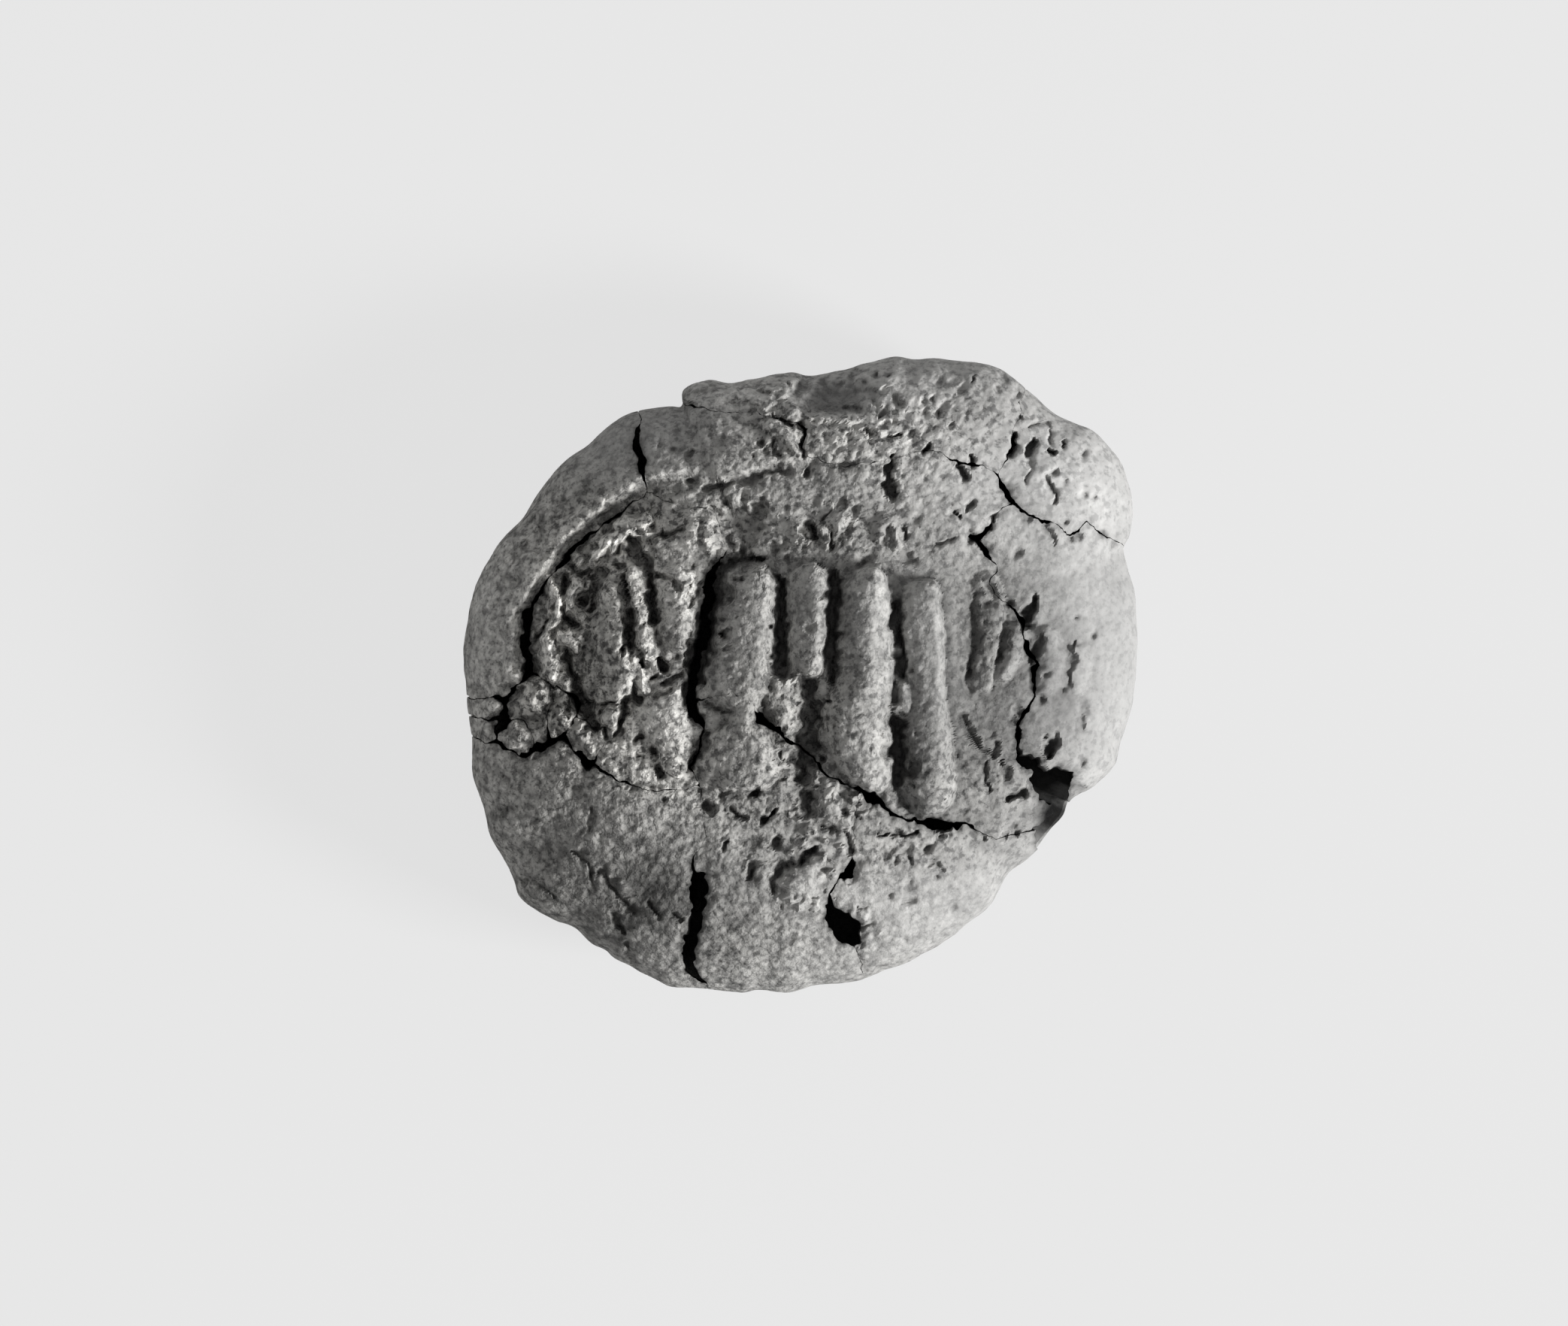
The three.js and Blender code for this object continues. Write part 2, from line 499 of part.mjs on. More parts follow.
// Broad swellings and hollows: a place, its reaches, and its height as a share of broadRise
const broadShares = [
  { placeShares: [0.52, -0.02], reachShares: [0.12, 0.3], heightShare: -1 },
  { placeShares: [0.68, 0.05], reachShares: [0.05, 0.16], heightShare: 0.2 },
  { placeShares: [-0.6, -0.1], reachShares: [0.1, 0.1], heightShare: -0.4 },
  { placeShares: [0.03, -0.2], reachShares: [0.05, 0.12], heightShare: -0.4 },
  { placeShares: [0.1, 0.87], reachShares: [0.12, 0.06], heightShare: -0.33 },
  { placeShares: [-0.17, 0.46], reachShares: [0.08, 0.06], heightShare: -0.5 },
  { placeShares: [-0.33, 0.42], reachShares: [0.08, 0.08], heightShare: 0.25 },
  { placeShares: [0.04, 0.42], reachShares: [0.05, 0.06], heightShare: -0.25 },
  { placeShares: [0.22, 0.54], reachShares: [0.1, 0.08], heightShare: -0.3 },
  { placeShares: [0.12, 0.61], reachShares: [0.06, 0.05], heightShare: 0.15 },
  { placeShares: [-0.2, 0.68], reachShares: [0.16, 0.04], heightShare: 0.25 },
  { placeShares: [0.42, 0.6], reachShares: [0.12, 0.08], heightShare: 0.2 },
  { placeShares: [0.08, 0.73], reachShares: [0.08, 0.05], heightShare: 0.15 },
  { placeShares: [0.36, 0.46], reachShares: [0.08, 0.08], heightShare: -0.15 },
  { placeShares: [-0.5, -0.43], reachShares: [0.12, 0.08], heightShare: 0.25 },
  { placeShares: [-0.44, -0.68], reachShares: [0.1, 0.07], heightShare: -0.35 },
  { placeShares: [-0.66, -0.36], reachShares: [0.05, 0.05], heightShare: -0.2 },
  { placeShares: [-0.74, -0.55], reachShares: [0.08, 0.1], heightShare: -0.2 },
  { placeShares: [-0.6, -0.72], reachShares: [0.05, 0.08], heightShare: 0.2 },
  { placeShares: [-0.48, -0.84], reachShares: [0.08, 0.05], heightShare: 0.2 },
  { placeShares: [-0.52, -0.67], reachShares: [0.04, 0.04], heightShare: 0.2 },
  { placeShares: [0.3, -0.52], reachShares: [0.12, 0.05], heightShare: -0.3 },
  { placeShares: [0.44, -0.66], reachShares: [0.14, 0.08], heightShare: 0.15 },
  { placeShares: [0.19, -0.82], reachShares: [0.05, 0.06], heightShare: -0.3 },
  { placeShares: [0.28, -0.8], reachShares: [0.05, 0.06], heightShare: 0.15 },
];

// The foot of the rim round the field's upper left, how far the field lies below the rim at
// each place as a share of fieldDepth, and corners that close the field's outline
const rimFootShares = [
  [-0.83, -0.04], [-0.832, 0.05], [-0.825, 0.15], [-0.803, 0.22], [-0.78, 0.29], [-0.735, 0.34],
  [-0.71, 0.39], [-0.67, 0.44], [-0.61, 0.5], [-0.54, 0.55], [-0.46, 0.61], [-0.4, 0.62],
  [-0.33, 0.635], [-0.25, 0.61], [-0.15, 0.625], [-0.05, 0.65], [0.1, 0.67], [0.25, 0.68],
];
const rimDepthShares = [0.3, 0.8, 1, 1, 1, 1, 1, 1, 1, 1, 1, 0.8, 0.6, 0.5, 0.5, 0.35, 0.2, 0.05];
const fieldCornerShares = [[0.9, 1.2], [1.4, -1.4], [-1.2, -1.4], [-1.1, -0.3]];

// Cross-sections from the root of a form up: share of the way from its crest or middle to its
// edge, and share of the rise
const barProfileShares = [[1, 0.08], [0.88, 0.4], [0.6, 0.74], [0.2, 0.97]];
const raisedProfileShares = [[1, 0.16], [0.93, 0.55], [0.78, 0.86], [0.5, 1]];
const sunkProfileShares = [[0.42, -1], [0.78, -0.8], [1, -0.3]];

const place = ([u, v]) => new THREE.Vector2(u * halfWidth, v * halfHeight);

// Radius of the outline in every direction from the middle of the face
const outlineRadii = makeOutlineRadii();

function makeOutlineRadii() {
  const corners = outlineShares.map(place).map((p) => new THREE.Vector3(p.x, p.y, 0));
  const curve = new THREE.CatmullRomCurve3(corners, true, 'centripetal');
  const samples = curve.getPoints(outlineStepCount).slice(0, outlineStepCount);
  return samples
    .map((p) => ({ angle: Math.atan2(p.y, p.x), radius: Math.hypot(p.x, p.y) }))
    .sort((a, b) => a.angle - b.angle);
}

function outlineRadius(angle) {
  const list = outlineRadii;
  let after = list.findIndex((entry) => entry.angle > angle);
  if (after < 0) after = 0;
  const high = list[after];
  const low = list[(after + list.length - 1) % list.length];
  const turn = 2 * Math.PI;
  const span = (high.angle - low.angle + turn) % turn;
  const part = (angle - low.angle + turn) % turn;
  return THREE.MathUtils.lerp(low.radius, high.radius, span > 0 ? part / span : 0);
}

// Height of the plain stamped face: the dome with the seal's field sunk into it
function faceHeight(x, y) {
  const share = Math.min(1, Math.hypot(x, y) / outlineRadius(Math.atan2(y, x)));
  const dome = edgeHeight + domeRise * Math.sqrt(1 - share ** domeFullness);
  return dome - fieldSink(x, y) + broadHeight(x, y);
}

function broadHeight(x, y) {
  let total = 0;
  for (const { placeShares, reachShares, heightShare } of broadShares) {
    const centre = place(placeShares);
    const reach = place(reachShares);
    const off = ((x - centre.x) / reach.x) ** 2 + ((y - centre.y) / reach.y) ** 2;
    total += broadRise * heightShare * Math.exp(-off);
  }
  return total;
}

function fieldSink(x, y) {
  const foot = rimFootShares.map(place);
  const spot = new THREE.Vector2(x, y);
  let away = Infinity;
  let depthShare = 0;
  for (let i = 0; i + 1 < foot.length; i += 1) {
    const step = foot[i + 1].clone().sub(foot[i]);
    const part = THREE.MathUtils.clamp(
      spot.clone().sub(foot[i]).dot(step) / step.lengthSq(), 0, 1,
    );
    const reach = spot.distanceTo(foot[i].clone().addScaledVector(step, part));
    if (reach < away) {
      away = reach;
      depthShare = THREE.MathUtils.lerp(rimDepthShares[i], rimDepthShares[i + 1], part);
    }
  }
  const within = isInside(spot, [...foot, ...fieldCornerShares.map(place)]);
  const wall = THREE.MathUtils.smoothstep(
    within ? away : -away, -fieldWallWidth / 2, fieldWallWidth / 2,
  );
  const fade = 1 - THREE.MathUtils.smoothstep(away, 0, fieldFadeWidth);
  return fieldDepth * depthShare * wall * fade;
}

function isInside(spot, corners) {
  let inside = false;
  corners.forEach((a, i) => {
    const b = corners[(i + 1) % corners.length];
    if ((a.y > spot.y) === (b.y > spot.y)) return;
    const crossing = a.x + ((b.x - a.x) * (spot.y - a.y)) / (b.y - a.y);
    if (spot.x < crossing) inside = !inside;
  });
  return inside;
}

// Closed solids
function solid(positions, indices) {
  const geometry = new THREE.BufferGeometry();
  geometry.setAttribute('position', new THREE.Float32BufferAttribute(positions, 3));
  geometry.setIndex(indices);
  return solidFrom(geometry);
}

function solidFrom(geometry) {
  geometry.deleteAttribute('normal');
  geometry.deleteAttribute('uv');
  const merged = mergeVertices(geometry);
  return new wasm.Manifold(new wasm.Mesh({
    numProp: 3,
    vertProperties: new Float32Array(merged.getAttribute('position').array),
    triVerts: new Uint32Array(merged.index.array),
  }));
}

function prism(points, bottom, top) {
  const shape = new THREE.Shape(points);
  const geometry = new THREE.ExtrudeGeometry(shape, { depth: top - bottom, bevelEnabled: false });
  geometry.translate(0, 0, bottom);
  return solidFrom(geometry);
}

function joined(solids) {
  if (solids.length === 1) return solids[0];
  const middle = Math.ceil(solids.length / 2);
  return joined(solids.slice(0, middle)).add(joined(solids.slice(middle)));
}

// A solid through rings of points with the same count, lowest ring first
function loft(rings) {
  const count = rings[0].length;
  const flat = rings[0].map((p) => new THREE.Vector2(p.x, p.y));
  const ordered = THREE.ShapeUtils.isClockWise(flat) ? rings.map((r) => [...r].reverse()) : rings;
  const positions = ordered.flat().flatMap((p) => [p.x, p.y, p.z]);
  const indices = [];
  for (let ring = 0; ring + 1 < ordered.length; ring += 1) {
    for (let i = 0; i < count; i += 1) {
      const a = ring * count + i;
      const b = ring * count + (i + 1) % count;
      indices.push(a, b, b + count, a, b + count, a + count);
    }
  }
  const last = (ordered.length - 1) * count;
  for (const [a, b, c] of capFaces(ordered[0])) indices.push(a, c, b);
  for (const [a, b, c] of capFaces(ordered.at(-1))) indices.push(last + a, last + b, last + c);
  return solid(positions, indices);
}

function capFaces(ring) {
  return THREE.ShapeUtils.triangulateShape(ring.map((p) => new THREE.Vector2(p.x, p.y)), []);
}

// The stamped layer before it cracked: a grid of points laid over the outline
function stampedLayer() {
  const points = [];
  for (let row = 0; row <= gridCellCount; row += 1) {
    for (let column = 0; column <= gridCellCount; column += 1) {
      const p = discPlace((2 * column) / gridCellCount - 1, (2 * row) / gridCellCount - 1);
      points.push(new THREE.Vector3(p.x, p.y, faceHeight(p.x, p.y)));
    }
  }
  const indices = [];
  const at = (row, column) => row * (gridCellCount + 1) + column;
  for (let row = 0; row < gridCellCount; row += 1) {
    for (let column = 0; column < gridCellCount; column += 1) {
      const a = at(row, column);
      const b = at(row, column + 1);
      const c = at(row + 1, column + 1);
      const d = at(row + 1, column);
      const rising = (row < gridCellCount / 2) === (column < gridCellCount / 2);
      if (rising) indices.push(a, b, c, a, c, d);
      else indices.push(a, b, d, b, c, d);
    }
  }
  const edge = [];
  for (let i = 0; i < gridCellCount; i += 1) edge.push(at(0, i));
  for (let i = 0; i < gridCellCount; i += 1) edge.push(at(i, gridCellCount));
  for (let i = gridCellCount; i > 0; i -= 1) edge.push(at(gridCellCount, i));
  for (let i = gridCellCount; i > 0; i -= 1) edge.push(at(i, 0));
  const foot = points.length;
  for (const index of edge) {
    const p = points[index];
    points.push(new THREE.Vector3(p.x * layerFootShare, p.y * layerFootShare, layerFoot));
  }
  const middle = points.length;
  points.push(new THREE.Vector3(0, 0, layerFoot));
  edge.forEach((index, i) => {
    const next = (i + 1) % edge.length;
    indices.push(foot + i, foot + next, edge[next], foot + i, edge[next], index);
    indices.push(middle, foot + next, foot + i);
  });
  return solid(points.flatMap((p) => [p.x, p.y, p.z]), indices);
}

// A square of places laid over the face, crowded towards its edge
function discPlace(a, b) {
  if (a === 0 && b === 0) return new THREE.Vector2(0, 0);
  const wide = Math.abs(a) > Math.abs(b);
  const reach = wide ? a : b;
  const angle = wide ? (Math.PI / 4) * (b / a) : Math.PI / 2 - (Math.PI / 4) * (a / b);
  const size = Math.abs(reach);
  const share = size * (1 + edgeCrowdShare) - edgeCrowdShare * size ** edgeCrowdPower;
  const unit = new THREE.Vector2(Math.cos(angle), Math.sin(angle)).multiplyScalar(Math.sign(reach));
  return unit.multiplyScalar(share * outlineRadius(Math.atan2(unit.y, unit.x)));
}

// One ring round a stroke, at a share of its half widths
function strokeRing({ lineShares, halfWidthShares }, widthShare) {
  const centres = lineShares.map(place);
  const normals = lineNormals(centres);
  const half = halfWidthShares.map((share) => share * halfWidth * widthShare);
  const last = centres.length - 1;
  const ring = [];
  centres.forEach((p, i) => ring.push(offset(p, normals[i], half[i])));
  ring.push(...capArc(centres[last], normals[last], half[last]));
  for (let i = last; i >= 0; i -= 1) ring.push(offset(centres[i], normals[i], -half[i]));
  ring.push(...capArc(centres[0], normals[0].clone().negate(), half[0]));
  return ring;
}

function capArc(centre, normal, radius) {
  const arc = [];
  for (let step = 1; step < capStepCount; step += 1) {
    const turned = normal.clone().rotateAround(new THREE.Vector2(), -Math.PI * (step / capStepCount));
    arc.push(offset(centre, turned, radius));
  }
  return arc;
}

function offset(p, direction, distance) {
  return p.clone().addScaledVector(direction, distance);
}

// Unit normals on the left of a line, averaged at its corners
function lineNormals(points) {
  if (points.length === 1) return [new THREE.Vector2(-1, 0)];
  return points.map((p, i) => {
    const before = points[Math.max(i - 1, 0)];
    const after = points[Math.min(i + 1, points.length - 1)];
    const inward = i > 0 ? p.clone().sub(before).normalize() : new THREE.Vector2();
    const outward = i < points.length - 1 ? after.clone().sub(p).normalize() : new THREE.Vector2();
    const along = inward.add(outward).normalize();
    return new THREE.Vector2(-along.y, along.x);
  });
}

function raisedStroke(stroke) {
  const root = strokeRing(stroke, 1).map((p) => lifted(p, -rootDepth));
  const rings = raisedProfileShares.map(([widthShare, heightShare]) => (
    strokeRing(stroke, widthShare).map((p) => lifted(p, barRise * stroke.riseShare * heightShare))
  ));
  return loft([root, ...rings]);
}

function sunkStroke(stroke) {
  const rings = sunkProfileShares.map(([widthShare, heightShare]) => (
    strokeRing(stroke, widthShare).map((p) => lifted(p, slotDepth * stroke.depthShare * heightShare))
  ));
  const mouthRing = strokeRing(stroke, 1).map((p) => lifted(p, barRise + overrun));
  return loft([...rings, mouthRing]);
}

// A bar with a long slope up to its crest from the left and a short flank at its right, which
// sinks to the face where its rows narrow at both ends
function bar({ riseShare, rowShares }) {
  const ring = (edgeShare, height) => {
    const left = [];
    const right = [];
    for (const [v, leftShare, crestShare, rightShare] of rowShares) {
      const width = (rightShare - leftShare) * halfWidth;
      const endShare = THREE.MathUtils.smoothstep(width, 0, barEndWidth);
      const towards = (sideShare) => {
        const u = THREE.MathUtils.lerp(crestShare, sideShare, edgeShare);
        return lifted(place([u, v]), height(endShare));
      };
      left.push(towards(leftShare));
      right.unshift(towards(rightShare));
    }
    return [...left, ...right];
  };
  const root = ring(1, () => -rootDepth);
  const rings = barProfileShares.map(([edgeShare, heightShare]) => (
    ring(edgeShare, (endShare) => barRise * riseShare * heightShare * endShare)
  ));
  return loft([root, ...rings]);
}

function lifted(p, height) {
  return new THREE.Vector3(p.x, p.y, faceHeight(p.x, p.y) + height);
}

// A crack is a row of upright slabs whose ends meet on the mitres of its line
function crack({ lineShares, widthShares }) {
  const centres = lineShares.map(place);
  const normals = lineNormals(centres);
  const left = centres.map((p, i) => offset(p, normals[i], (widthShares[i] * crackWidth) / 2));
  const right = centres.map((p, i) => offset(p, normals[i], (-widthShares[i] * crackWidth) / 2));
  const slabs = [];
  for (let i = 0; i + 1 < centres.length; i += 1) {
    slabs.push(prism([left[i], left[i + 1], right[i + 1], right[i]], cutBottom, cutTop));
  }
  return joined(slabs);
}

function hole(shares) {
  return prism(shares.map(place), cutBottom, cutTop);
}

// The stretch of a crack from one of its places to another
function stretch(name, from, to) {
  const { lineShares } = crackShares[name];
  const start = lineShares.indexOf(from);
  const end = lineShares.indexOf(to);
  if (start <= end) return lineShares.slice(start, end + 1);
  return lineShares.slice(end, start + 1).reverse();
}

const whole = (name) => crackShares[name].lineShares;
const back = (name) => [...crackShares[name].lineShares].reverse();
const mouth = (name, end) => crackShares[name].lineShares.at(end);

// A path of places beyond the outline, clockwise from one mouth to the next
function beyond(from, to) {
  const start = Math.atan2(from[1], from[0]);
  const turn = 2 * Math.PI;
  const sweep = (start - Math.atan2(to[1], to[0]) + turn) % turn;
  const steps = Math.max(1, Math.ceil(sweep / beyondAngle));
  const path = [];
  for (let step = 0; step <= steps; step += 1) {
    const angle = start - sweep * (step / steps);
    path.push([Math.cos(angle) * beyondShare, Math.sin(angle) * beyondShare]);
  }
  return path;
}

// The outline of each fragment, along the middles of the cracks round it
const fragmentOutlines = {
  left_rim: [
    ...whole('upperLeft'), ...whole('border'), ...whole('rimFoot'),
    ...beyond(mouth('rimFoot', -1), mouth('upperLeft', 0)),
  ],
  left_field: [
    ...back('border'), ...stretch('fieldEdge', rimCornerShare, lowerForkShare),
    ...stretch('left', lowerForkShare, crumbTipShare), ...back('crumbEdge'),
    ...stretch('crumbHook', crumbBendShare, crumbHeadShare),
    ...stretch('crumbDivide', crumbHeadShare, rimFootShare),
  ],
  central_field: [
    ...back('upperLeft'), ...beyond(mouth('upperLeft', 0), mouth('top', 0)), ...whole('top'),
    ...stretch('right', upperForkShare, rightForkShare), ...whole('cord'),
    ...stretch('cordMouth', cordHoleShare, edgeForkShare), ...back('middle'),
    ...stretch('fieldEdge', valleyForkShare, rimCornerShare),
  ],
  top_lump: [
    ...back('top'), ...beyond(mouth('top', 0), mouth('upperRight', 0)), ...whole('upperRight'),
  ],
  upper_right: [
    ...back('upperRight'), ...beyond(mouth('upperRight', 0), mouth('right', -1)), ...back('right'),
  ],
  right_side: [
    ...stretch('right', rightForkShare, mouth('right', -1)),
    ...beyond(mouth('right', -1), mouth('cordMouth', -1)), ...back('cordMouth'), ...back('cord'),
  ],
  lower_right: [
    ...stretch('middle', middleForkShare, edgeForkShare),
    ...stretch('cordMouth', edgeForkShare, mouth('cordMouth', -1)),
    ...beyond(mouth('cordMouth', -1), mouth('lowerRight', -1)), ...back('lowerRight'),
  ],
  lower_centre: [
    ...stretch('middle', valleyForkShare, middleForkShare), ...whole('lowerRight'),
    ...beyond(mouth('lowerRight', -1), mouth('lower', -1)), ...back('lower'),
    ...stretch('fieldEdge', lowerForkShare, valleyForkShare),
  ],
  lower_left: [
    ...whole('lower'), ...beyond(mouth('lower', -1), mouth('left', 0)), ...whole('left'),
  ],
  crumb_1: [
    ...stretch('rimFoot', mouth('rimFoot', -1), crumbTopShare),
    ...stretch('crumbUpright', crumbTopShare, crumbSideShare), ...back('crumbLevel'),
  ],
  crumb_2: [
    ...whole('crumbLevel'), ...stretch('crumbUpright', crumbSideShare, crumbBaseShare),
    ...stretch('left', crumbBaseShare, mouth('left', 0)),
  ],
  crumb_3: [
    ...whole('crumbArch'), ...stretch('left', crumbHeelShare, crumbBaseShare),
    ...stretch('crumbUpright', crumbBaseShare, crumbKneeShare),
  ],
  crumb_4: [
    ...stretch('rimFoot', crumbTopShare, rimFootShare), ...whole('crumbDivide'),
    ...stretch('left', crumbGapShare, crumbHeelShare), ...back('crumbArch'),
    ...stretch('crumbUpright', crumbKneeShare, crumbTopShare),
  ],
  crumb_5: [
    ...whole('crumbHook'), ...stretch('left', crumbRootShare, crumbGapShare),
    ...stretch('crumbDivide', crumbGapShare, crumbHeadShare),
  ],
  crumb_6: [
    ...whole('crumbEdge'), ...stretch('left', crumbTipShare, crumbRootShare),
    ...stretch('crumbHook', crumbRootShare, crumbBendShare),
  ],
};

// The back body: rings that widen from the flat back, with the cord's channel along its top
function backBody() {
  const rings = backRingShares.map((heightShare) => {
    const bulge = (1 - (1 - heightShare) ** backFullness) ** (1 / backFullness);
    const share = THREE.MathUtils.lerp(backBaseShare, backTopShare, bulge);
    const ring = [];
    for (let side = 0; side < backSideCount; side += 1) {
      const angle = Math.PI * ((2 * side) / backSideCount - 1);
      const radius = outlineRadius(angle) * share;
      ring.push(new THREE.Vector3(
        Math.cos(angle) * radius,
        Math.sin(angle) * radius,
        heightShare * backThickness,
      ));
    }
    return ring;
  });
  return loft(rings).subtract(cordChannel());
}

// A round-bottomed trench for the cord, closed above by the stamped layer
function cordChannel() {
  const radius = cordDiameter / 2;
  const start = place(channelStartShare);
  const end = place(channelEndShare);
  const section = new THREE.Shape();
  section.moveTo(-radius, overrun + radius);
  section.lineTo(-radius, 0);
  section.absarc(0, 0, radius, Math.PI, 2 * Math.PI, false);
  section.lineTo(radius, overrun + radius);
  const geometry = new THREE.ExtrudeGeometry(section, {
    depth: start.distanceTo(end),
    bevelEnabled: false,
    curveSegments: channelSideCount,
  });
  geometry.rotateX(Math.PI / 2);
  geometry.rotateZ(Math.atan2(end.y - start.y, end.x - start.x) + Math.PI / 2);
  geometry.translate(start.x, start.y, backThickness - radius);
  return solidFrom(geometry);
}

// The stamped layer with its relief, cut by every crack and hole
function crackedLayer() {
  const raised = [
    ...Object.values(barShares).map(bar),
    ...Object.values(raisedShares).map(raisedStroke),
  ];
  const sunk = Object.values(sunkShares).map(sunkStroke);
  const cracks = Object.values(crackShares).map(crack);
  const holes = Object.values(holeShares).map(hole);
  return stampedLayer().add(joined(raised)).subtract(joined([...sunk, ...cracks, ...holes]));
}

function clay() {
  return new THREE.MeshStandardMaterial({ color: 0x8f8c87, roughness: 0.92, metalness: 0 });
}

function piece(name, body) {
  const { vertProperties, triVerts } = body.getMesh();
  const geometry = new THREE.BufferGeometry();
  geometry.setAttribute('position', new THREE.Float32BufferAttribute(vertProperties, 3));
  geometry.setIndex(Array.from(triVerts));
  geometry.computeVertexNormals();
  const mesh = new THREE.Mesh(geometry, clay());
  mesh.name = name;
  return mesh;
}

const bulla = new THREE.Group();
bulla.add(piece('back_body', backBody()));
const layer = crackedLayer();
for (const [name, outline] of Object.entries(fragmentOutlines)) {
  const corners = outline.filter((corner, i) => corner !== outline.at(i - 1));
  bulla.add(piece(name, layer.intersect(prism(corners.map(place), cutBottom, cutTop))));
}

export default bulla;
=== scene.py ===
"""The looks of a cracked clay bulla: its face as one fine relief, broken along its cracks.

Lengths are in millimetres here and become metres where a mesh, lamp or camera is made.
Places on the face are shares of its half width and half height, from its middle.
"""
import math
from collections import deque
from itertools import product

import bpy
import numpy as np
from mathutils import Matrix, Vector
from mathutils.bvhtree import BVHTree
from mathutils.geometry import tessellate_polygon

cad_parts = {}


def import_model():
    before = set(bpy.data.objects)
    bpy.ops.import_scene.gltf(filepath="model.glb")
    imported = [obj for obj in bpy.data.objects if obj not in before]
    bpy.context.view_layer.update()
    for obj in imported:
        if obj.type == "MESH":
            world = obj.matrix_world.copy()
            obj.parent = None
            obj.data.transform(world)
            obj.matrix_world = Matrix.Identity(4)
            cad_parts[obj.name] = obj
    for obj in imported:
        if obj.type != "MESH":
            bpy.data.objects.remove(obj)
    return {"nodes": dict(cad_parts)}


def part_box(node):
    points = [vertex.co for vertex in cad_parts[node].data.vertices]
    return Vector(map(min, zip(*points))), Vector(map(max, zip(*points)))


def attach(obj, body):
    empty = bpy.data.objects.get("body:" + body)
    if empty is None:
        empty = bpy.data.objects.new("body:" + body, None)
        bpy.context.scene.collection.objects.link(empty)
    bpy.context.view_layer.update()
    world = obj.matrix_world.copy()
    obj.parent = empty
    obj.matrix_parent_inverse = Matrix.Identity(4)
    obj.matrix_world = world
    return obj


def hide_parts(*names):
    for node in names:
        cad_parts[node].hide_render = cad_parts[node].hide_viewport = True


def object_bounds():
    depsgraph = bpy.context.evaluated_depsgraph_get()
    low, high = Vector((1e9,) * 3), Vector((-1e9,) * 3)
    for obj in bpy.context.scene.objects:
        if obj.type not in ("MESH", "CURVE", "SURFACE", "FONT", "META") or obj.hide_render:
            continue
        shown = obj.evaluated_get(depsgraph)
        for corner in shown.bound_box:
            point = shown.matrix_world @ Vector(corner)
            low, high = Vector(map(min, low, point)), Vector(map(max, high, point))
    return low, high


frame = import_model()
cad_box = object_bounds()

# A millimetre in metres, and the least number that is divided by
MM = 0.001
tiny = 1e-9

# The lump, from the frame
low, high = (np.array(corner) / MM for corner in cad_box)
half_width, half_height = (high[:2] - low[:2]) / 2
layer_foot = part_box("left_rim")[0].z / MM
back_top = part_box("back_body")[1].z / MM
edge_thickness = 0.6
edge_height = layer_foot + edge_thickness
dome_rise = 4.4
dome_fullness = 2.4
back_fullness = 2.2
back_base_share = 0.72
back_top_share = 0.994
layer_foot_share = 0.996

# Fineness of the meshes
curve_steps = 8
grid_steps = 340
grid_end_share = 1.004
grid_limit_share = 1.01
edge_crowd_share = 0.08
edge_crowd_power = 9
wall_shares = [0.03, 0.09, 0.22, 0.48, 1]
smallest_part = 60
smallest_cut_share = 0.02
scrap_reach = 0.02
side_count = 480
side_step = 0.17
base_ring_shares = [0.12, 0.28, 0.45, 0.62, 0.77, 0.88, 0.95, 0.985]
top_ring_shares = [0.9, 0.6, 0.3]
sharp_angle = math.radians(55)

# The joint between the fragments and the back body, where each runs on inside the other
seam_height = (layer_foot + back_top) / 2
tuck_height = 0.45
tuck_share = 0.035
outer_share = 0.985

# The cord's channel
cord_diameter = 1.9
channel_end_shares = [(-1.12, -0.15), (1.12, -0.385)]
channel_sides = 40
channel_step = 0.5
cut_overrun = 1

